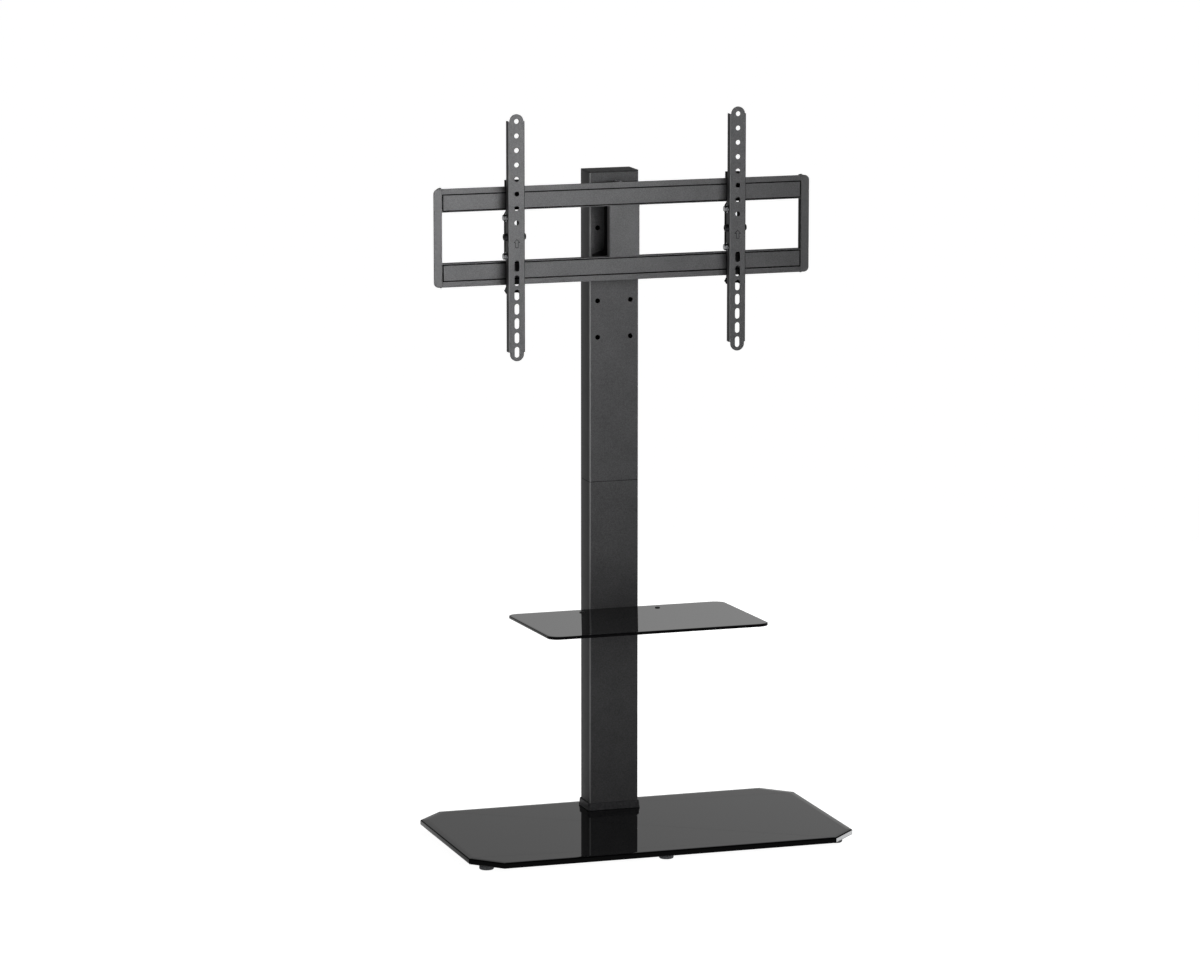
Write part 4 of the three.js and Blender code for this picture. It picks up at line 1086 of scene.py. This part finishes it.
@dataclass
class ShelfAssembly:
    """The tipped glass shelf on its folded bracket, with its screws into glass and column."""

    shop: Workshop
    finishes: Finishes
    width: float = 400 * MM
    depth: float = 260 * MM
    thickness: float = 5 * MM
    corner: float = 20 * MM
    tilt: float = math.radians(2)
    top: float = 386 * MM
    arris: float = 0.8 * MM
    screw_inset: float = 29 * MM
    screw_rise: float = 1.7 * MM

    def build(self) -> None:
        """Builds and dresses the shelf."""
        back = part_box("shelf_glass")[1].y
        plate = GlassPlate(rectangle(self.width, self.depth), [self.corner],
                           self.thickness, self.arris, 16)
        drop = np.array([0, -self.depth / 2, -self.thickness])
        made = self.shop.piece("glass_shelf",
                               plate.surface().changed(lambda p: self._tipped(p + drop, back)),
                               self.finishes.shelf_glass,
                               "stand", "smoked_glass", "shelf_glass", sharp=20)
        plate.edge_faces(made.data, self.finishes.glass_edge)
        self.shop.pressed("shelf_support", "shelf_bracket", self.finishes.coat,
                          "stand", "powder_coat")
        for side in Side:
            node = "shelf_screw_" + side.word
            box_low, box_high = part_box(node)
            x = centre_of(node)[0]
            shift = np.array([x, -self.screw_inset, self.screw_rise])
            screw = replace(GLASS_SCREW, length=box_high.z - box_low.z).surface()
            placed = screw.changed(lambda p, shift=shift: self._tipped(p + shift, back))
            self.shop.piece("glass_screw_" + side.word, placed, self.finishes.glass_screw,
                            "stand", "black_steel", node)
            self.shop.fasten("bracket_screw_" + side.word, "shelf_bracket_screw_" + side.word,
                             SHELF_BOLT, TO_FRONT, self.finishes.oxide, "stand", "black_steel")

    def _tipped(self, points: np.ndarray, back: float) -> np.ndarray:
        """Turns points about the shelf's upper rear edge: y' = y cos a + z sin a and
        z' = z cos a - y sin a, so the front, at negative y, rises.

        Args:
            points: Points with the rear edge of the shelf's top as origin.
            back: Y of that edge.

        Returns:
            The points in the stand's frame.
        """
        c, s = math.cos(self.tilt), math.sin(self.tilt)
        x, y, z = points.T
        return np.stack([x, back + y * c + z * s, self.top + z * c - y * s], 1)


@dataclass
class SwivelMount:
    """The bracket bolted to the column, and the bolts, nuts and washers that the frame turns on."""

    shop: Workshop
    finishes: Finishes

    def build(self) -> None:
        """Builds and dresses the fixed half of the swivel. The bracket's coat is painted darker as
        shade, and what faces up on its upper half, which lies in deep shade, is painted near black."""
        shop, f = self.shop, self.finishes
        # the bracket takes the darker coat, painted shade
        bracket = shop.pressed("wall_bracket", "column_bracket", f.painted_shade_coat, "stand", "powder_coat")
        middles, normals = faces_of(bracket.data)
        upper_half = middles[:, 2] > centre_of("column_bracket")[2]
        # upward faces of the upper half painted near black: painted shade
        dress_faces(bracket.data, f.painted_deep_shade, (normals[:, 2] > 0.9) & upper_half)
        for number in range(1, 5):
            shop.fasten(f"column_bolt_{number}", f"bracket_bolt_{number}", COLUMN_BOLT, TO_FRONT,
                        f.oxide, "stand", "black_steel")
        for place, way in (("upper", UP), ("lower", DOWN)):
            # the pivot bolts take the lighter zinc, a painted glint
            shop.fasten("pivot_bolt_" + place, "swivel_bolt_" + place, SWIVEL_BOLT, way,
                        f.zinc_painted_bright, "stand", "zinc")
            shop.fasten("pivot_nut_" + place, "swivel_nut_" + place, SWIVEL_NUT, UP,
                        f.zinc, "stand", "zinc")
            shop.pressed("glide_washer_" + place, "swivel_washer_" + place, f.nylon,
                         "stand", "nylon", 0.12 * MM)


@dataclass
class RailFrame:
    """The swinging frame: head channel, two grooved rails, end caps and the screws between them."""

    shop: Workshop
    finishes: Finishes
    cap_width: float = 15 * MM
    cap_corner: float = 8.8 * MM
    cap_edge: float = 0.8 * MM
    cap_rim: float = 2 * MM
    cap_slope: float = 10 * MM
    nub_width: float = 3 * MM
    nub_height: float = 1.4 * MM
    plug_length: float = 12 * MM
    plug_width: float = 8 * MM
    plug_height: float = 24 * MM
    plug_from_end: float = 16.5 * MM
    plug_from_front: float = 8.4 * MM
    groove_depth: float = 1.8 * MM

    def build(self) -> None:
        """Builds and dresses the swinging frame."""
        shop, f = self.shop, self.finishes
        # the swivel channel and the rails take the coat painted lighter, as painted light
        shop.pressed("swivel_channel", "swivel_head", f.coat_painted_lighter, "swing_frame", "powder_coat")
        for place in ("upper", "lower"):
            rail = shop.pressed(f"mount_rail_{place}", f"{place}_rail", f.coat_painted_lighter,
                                "swing_frame", "rail_coat", 0.1 * MM)
            self._paint_shade_in_grooves(rail.data, f"{place}_rail")
        for side in Side:
            self._end_cap(side)
        for number in range(1, 5):
            shop.fasten(f"rail_fixing_{number}", f"rail_screw_{number}", PAN_SCREW, TO_BACK,
                        f.oxide, "swing_frame", "black_steel")

    def _paint_shade_in_grooves(self, mesh: Mesh, node: str) -> None:
        """Paints the grooves' shade: the faces sunk into the rail's front get a near-black coat.
        They are those whose middle lies behind the front face by no more than the grooves' depth,
        but not at the rail's upper or lower edge.

        Args:
            mesh: The rail's mesh.
            node: CAD node that it stands for.
        """
        low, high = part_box(node)
        middles, _ = faces_of(mesh)
        _, y, z = middles.T
        sunk = (y > low.y + 0.2 * MM) & (y < low.y + self.groove_depth + 0.1 * MM)
        inside = (z > low.z + 0.4 * MM) & (z < high.z - 0.4 * MM)
        dress_faces(mesh, self.finishes.painted_deep_shade, sunk & inside)

    def _end_cap(self, side: Side) -> None:
        """An upright whose outer side slopes back from a thin rim, with two nubs and a plug for
        each rail. The outer side's setback grows in proportion to the depth behind the rim, and
        the round outer corners shrink with it.

        Args:
            side: Which end of the rails.
        """
        node = "end_cap_" + side.word
        low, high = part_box(node)
        outer = high.x if side is Side.RIGHT else -low.x
        x0, x1 = outer - self.cap_width, outer
        z0, z1 = low.z + self.nub_height, high.z - self.nub_height
        deep = high.y - low.y
        share = np.linspace(0, 1, 6)
        inset, height = rounded_edge(self.cap_edge, deep)
        levels = [(0.5 * MM, self.cap_slope, 0.0), (0.0, self.cap_slope, 0.5 * MM)]
        run = deep - self.cap_rim - 0.5 * MM
        levels += [(0.0, self.cap_slope * (1 - t), 0.5 * MM + run * t) for t in share[1:]]
        levels += [(i, 0.0, h) for i, h in zip(inset, height)]

        def drawn(moved_in: float, setback: float) -> np.ndarray:
            """The outline at one depth.

            Args:
                moved_in: How far all of it is moved in.
                setback: How far its outer side is set back.

            Returns:
                The outline, n x 2.
            """
            x2 = x1 - setback
            corners = np.array([[x0, z0], [x2, z0], [x2, z1], [x0, z1]])
            round_by = self.cap_corner * (1 - 0.6 * setback / self.cap_slope)
            radii = [0.5 * MM, round_by, round_by, 0.5 * MM]
            return inset_outline(rounded_outline(corners, radii, 12), moved_in)

        rings = stack([drawn(i, back) for i, back, _ in levels], [h for *_, h in levels])
        block = Surface.from_rings(rings).changed(
            lambda p: np.stack([p[:, 0], high.y - p[:, 2], p[:, 1]], 1))
        for z in (z0, z1):
            nub = rounded_outline(rectangle(self.nub_width, self.nub_height * 2), [0.5 * MM], 4)
            levels = [(0.3 * MM, 0.0), (0.0, 0.3 * MM),
                      (0.0, deep / 4 - 0.3 * MM), (0.3 * MM, deep / 4)]
            block += Surface.from_rings(inset_rings(nub, levels)).changed(
                lambda p, z=z: np.stack([p[:, 0] + x0 + self.nub_width / 2,
                                         high.y - deep / 2 - p[:, 2], p[:, 1] + z], 1))
        tall = self.plug_height
        for z in (low.z + self.plug_from_end, high.z - self.plug_from_end - tall):
            plug = rounded_outline(rectangle(self.plug_width, tall), [0.6 * MM], 3)
            levels = [(0.6 * MM, 0.0), (0.0, 0.8 * MM), (0.0, self.plug_length)]
            block += Surface.from_rings(inset_rings(plug, levels)).changed(
                lambda p, z=z: np.stack([x0 - self.plug_length + p[:, 2],
                                         low.y + self.plug_from_front + p[:, 0],
                                         z + tall / 2 + p[:, 1]], 1))
        if side is Side.LEFT:
            block = Surface(block.points * np.array([-1, 1, 1]), [f[::-1] for f in block.faces])
        made = self.shop.piece("rail_end_" + side.word, block, self.finishes.cap_plastic,
                               "swing_frame", "black_plastic", node, sharp=40)
        _, normals = faces_of(made.data)
        inward = -side.value * normals[:, 0]
        # inner side painted near black as shade; inner faces sloping to the front get the paler
        # coat as a painted highlight
        dress_faces(made.data, self.finishes.painted_deep_shade, inward > 0.95)
        dress_faces(made.data, self.finishes.bend,
                    (inward > 0.3) & (inward < 0.95) & (normals[:, 1] < -0.25))


@dataclass
class MountingArm:
    """One hanger on the rails and the slotted arm that tilts on it, with their hardware."""

    shop: Workshop
    finishes: Finishes
    side: Side
    arrow_height: float = 15.5 * MM
    arrow_width: float = 12.5 * MM
    arrow_neck: float = 0.44
    arrow_stem: float = 0.46
    arrow_drop: float = 10.6 * MM
    arrow_line: float = 1.0 * MM
    arrow_rise: float = 0.12 * MM
    face_depth: float = 2.6 * MM
    hole_reach: float = 6 * MM

    def build(self) -> None:
        """Builds and dresses the hanger and the arm."""
        word, f, shop = self.side.word, self.finishes, self.shop
        hanger, arm = word + "_hanger", word + "_arm"
        # the hanger takes the darker coat, painted shade
        shop.pressed("rail_hook_" + word, "hanger_" + word, f.painted_shade_coat, hanger, "powder_coat")
        # the arm takes the coat painted lighter, as painted light
        slotted = shop.pressed("slotted_arm_" + word, "arm_" + word, f.coat_painted_lighter,
                               arm, "rail_coat", 0.15 * MM)
        self._dress_arm(slotted.data)
        self._arrow(arm)
        shop.fasten("locking_screw_" + word, "safety_screw_" + word, SAFETY_SCREW, DOWN,
                    f.zinc, hanger, "zinc")
        shop.fasten("hinge_bolt_" + word, "tilt_bolt_" + word, TILT_BOLT, TO_LEFT,
                    f.oxide, arm, "black_steel")
        shop.fasten("hinge_nut_" + word, "tilt_nut_" + word, TILT_NUT, TO_RIGHT,
                    f.oxide, arm, "black_steel")
        for place in ("lower", "upper"):
            shop.fasten(f"clamp_bolt_{word}_{place}", f"lock_bolt_{word}_{place}", LOCK_BOLT,
                        TO_LEFT, f.zinc, arm, "zinc")

    def _dress_arm(self, mesh: Mesh) -> None:
        """Painted light on the arm: a paler, glossier coat on its left bend as a painted highlight,
        and a near-black coat as painted shade on the right bend and on the walls of the holes,
        which are the faces within the front's thickness that look sideways.

        Args:
            mesh: The arm's mesh.
        """
        low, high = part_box("arm_" + self.side.word)
        middles, normals = faces_of(mesh)
        front = middles[:, 1] < low.y + self.face_depth
        across = np.abs(middles[:, 0] - (low.x + high.x) / 2) < self.hole_reach
        # painted shade on the hole walls and the right bend, painted highlight on the left bend
        dress_faces(mesh, self.finishes.painted_deep_shade, front & across & (np.abs(normals[:, 1]) < 0.5))
        dress_faces(mesh, self.finishes.bend, (normals[:, 0] < -0.35) & (normals[:, 1] < -0.35))
        dress_faces(mesh, self.finishes.painted_deep_shade, (normals[:, 0] > 0.35) & (normals[:, 1] < -0.35))

    def _arrow(self, body: str) -> None:
        """The stamped arrow: a fine rim that follows an arrow's outline, between the outline and
        one moved in, a little proud of the arm's face.

        Args:
            body: CAD body that it rides on.
        """
        stem, neck = self.arrow_stem / 2, 0.5 - self.arrow_neck
        outline = np.array([[-stem, -0.5], [stem, -0.5], [stem, neck], [0.5, neck], [0.0, 0.5],
                            [-0.5, neck], [-stem, neck]])
        outline = outline * np.array([self.arrow_width, self.arrow_height])
        low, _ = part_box("arm_" + self.side.word)
        x = centre_of("arm_" + self.side.word)[0]
        z = centre_of("tilt_bolt_" + self.side.word)[2] - self.arrow_drop
        line, rise = self.arrow_line, self.arrow_rise
        levels = [(0.0, 0.02 * MM), (line * 0.25, rise), (line * 0.75, rise), (line, 0.02 * MM),
                  (line, -0.2 * MM), (0.0, -0.2 * MM)]
        rim = Surface.from_loop(inset_rings(outline, levels)).changed(
            lambda p: np.stack([x + p[:, 0], low.y - p[:, 2], z + p[:, 1]], 1))
        # the arrow's rim is painted darker than the arm's coat, as painted shade
        self.shop.piece("arrow_mark_" + self.side.word, rim, self.finishes.mark, body, "rail_coat")


# --- Studio ---


def hang(data: Union[Camera, Light], place: tuple, target: tuple) -> Object:
    """Hangs a lamp or camera in the scene and points it.

    Args:
        data: The lamp or camera; the object takes its name.
        place: Where it hangs.
        target: What it points at.

    Returns:
        The new object.
    """
    hung = bpy.data.objects.new(data.name, data)
    hung.location = place
    hung.rotation_mode = "QUATERNION"
    hung.rotation_quaternion = (Vector(target) - Vector(place)).to_track_quat("-Z", "Y")
    bpy.context.scene.collection.objects.link(hung)
    return hung


@dataclass
class Softbox:
    """One soft lamp of the studio."""

    name: str
    place: tuple[float, float, float]
    target: tuple[float, float, float]
    width: float
    height: float
    power: float
    spread: float = math.pi

    def build(self) -> None:
        """Makes the lamp and hangs it. It doesn't show in reflections, where it would be a white
        block in the glass from behind."""
        lamp = bpy.data.lights.new(self.name, "AREA")
        lamp.shape, lamp.size, lamp.size_y = "RECTANGLE", self.width, self.height
        lamp.energy, lamp.spread = self.power, self.spread
        hang(lamp, self.place, self.target).visible_glossy = False


@dataclass
class Studio:
    """White floor, soft lamps, a pale room and the camera at the photograph's angle."""

    floor_half: float = 60.0
    floor_colour: str = "#9c9c9c"
    floor_glow: float = 0.96
    room_light: float = 0.11
    wall: tuple[tuple[float, float], ...] = (
        (0.0, 0.38), (0.1, 0.45), (0.15, 0.51), (0.2, 0.40),
        (0.236, 0.335), (0.36, 0.31), (0.46, 0.11), (1.0, 0.11))
    wall_rise: tuple[float, ...] = (0.26, 0.35, 0.9, 1.18)
    wall_fade: tuple[float, ...] = (-0.1, 0.2, 0.0, 1.0)
    sensor: float = 36.0
    lens: float = 164.38
    camera_place: tuple[float, float, float] = (-2.9418, -8.8952, 2.2848)
    camera_target: tuple[float, float, float] = (-0.0657, 0.0, 0.6379)
    lamps: tuple[Softbox, ...] = (
        Softbox("key_beam_to_left", (0.2, -2.42, 1.87), (-0.78, 0.0, 1.63),
                1.2, 1.2, 12.4, math.radians(58)),
        Softbox("front_right", (0.6, -1.8, 1.3), (-1.0, 0.0, 1.5),
                1.2, 1.2, 9.0, math.radians(60)),
        Softbox("low_front_right", (0.6, -1.4, 0.35), (0.0, 0.0, 0.75), 0.9, 0.9, 2.9),
        Softbox("low_front_left", (-0.3, -1.4, 0.35), (0.0, 0.0, 0.75), 0.9, 0.9, 5.4),
        Softbox("rear_right", (2.2, 2.2, 0.6), (0.0, 0.1, 0.65),
                1.4, 1.1, 80.0, math.radians(90)),
    )

    def build(self) -> None:
        """Sets the stage, the lamps, the world and the camera."""
        scene = bpy.context.scene
        scene.view_settings.view_transform = "Standard"
        self._camera(scene)
        self._floor()
        self._world(scene)
        for lamp in self.lamps:
            lamp.build()

    def _camera(self, scene: Scene) -> None:
        """A long lens, 18 degrees left of the front and 10 degrees above.

        Args:
            scene: The scene that takes the camera.
        """
        data = bpy.data.cameras.new("camera")
        data.lens, data.sensor_width = self.lens, self.sensor
        data.clip_start, data.clip_end = 0.1, 200.0
        scene.camera = hang(data, self.camera_place, self.camera_target)

    def _floor(self) -> None:
        """A white sweep: it takes soft shadows, and glows to plain white where it is looked at,
        directly or in a reflection."""
        mesh = bpy.data.meshes.new("floor")
        h = self.floor_half
        mesh.from_pydata([(-h, -h, 0), (h, -h, 0), (h, h, 0), (-h, h, 0)], [], [(0, 1, 2, 3)])
        floor = bpy.data.objects.new("floor", mesh)
        bpy.context.scene.collection.objects.link(floor)
        material = bpy.data.materials.new("white_paper_sweep")
        material.use_nodes = True
        tree = material.node_tree
        tree.nodes.clear()
        path = add_node(tree, "LightPath")
        seen = maths(tree, "ADD", path.outputs["Is Camera Ray"], path.outputs["Is Glossy Ray"])
        seen = maths(tree, "ADD", seen, path.outputs["Is Transmission Ray"])
        glow = maths(tree, "MULTIPLY", seen, self.floor_glow)
        lit = add_node(tree, "BsdfDiffuse", {"Color": linear(self.floor_colour)})
        light = add_node(tree, "Emission", {"Color": (1, 1, 1, 1), "Strength": glow})
        both = add_node(tree, "AddShader", {0: lit.outputs[0], 1: light.outputs[0]})
        add_node(tree, "OutputMaterial", {"Surface": both.outputs[0]})
        mesh.materials.append(material)

    def _world(self, scene: Scene) -> None:
        """A dim room with one pale wall behind the stand. The wall's brightness follows the height
        of each direction, with its peak low down, and rises a little to the right; the share of
        the wall fades out smoothly as the direction turns from the back to the front. Where the
        world is looked at, or seen through glass, it is plain white like the floor.

        Args:
            scene: The scene that takes the world.
        """
        world = bpy.data.worlds.new("studio")
        world.use_nodes = True
        tree = world.node_tree
        tree.nodes.clear()
        way = add_node(tree, "SeparateXYZ", {0: add_node(tree, "TexCoord").outputs["Generated"]})
        ramp = add_node(tree, "ValToRGB", {0: way.outputs[2]})
        stops = ramp.color_ramp.elements
        for place, value in self.wall:
            stop = stops[0] if place == 0.0 else stops[-1] if place == 1.0 else stops.new(place)
            stop.color = (value, value, value, 1)
        rise = dict(enumerate((way.outputs[0], *self.wall_rise)))
        wall = maths(tree, "MULTIPLY", ramp.outputs[0], add_node(tree, "MapRange", rise).outputs[0])
        fade = dict(enumerate((way.outputs[1], *self.wall_fade)))
        share = add_node(tree, "MapRange", fade, interpolation_type="SMOOTHSTEP")
        light = add_node(tree, "Mix", {0: share.outputs[0], 2: self.room_light, 3: wall})
        path = add_node(tree, "LightPath")
        seen = maths(tree, "MAXIMUM", path.outputs["Is Camera Ray"],
                     path.outputs["Is Transmission Ray"])
        shown = add_node(tree, "Mix", {0: seen, 2: light.outputs[0], 3: 1.0})
        room = add_node(tree, "Background", {"Color": (1, 1, 1, 1), "Strength": shown.outputs[0]})
        add_node(tree, "OutputWorld", {"Surface": room.outputs[0]})
        scene.world = world


def main() -> None:
    """Builds the stand in order."""
    logging.basicConfig(level=logging.INFO, format="%(name)s: %(message)s")
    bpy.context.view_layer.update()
    shop, finishes = Workshop(), Finishes()
    Studio().build()
    BaseAssembly(shop, finishes).build()
    ColumnAssembly(shop, finishes).build()
    ShelfAssembly(shop, finishes).build()
    SwivelMount(shop, finishes).build()
    RailFrame(shop, finishes).build()
    for side in Side:
        MountingArm(shop, finishes, side).build()
    log.info("%d pieces", shop.made)


if __name__ == "__main__":
    main()
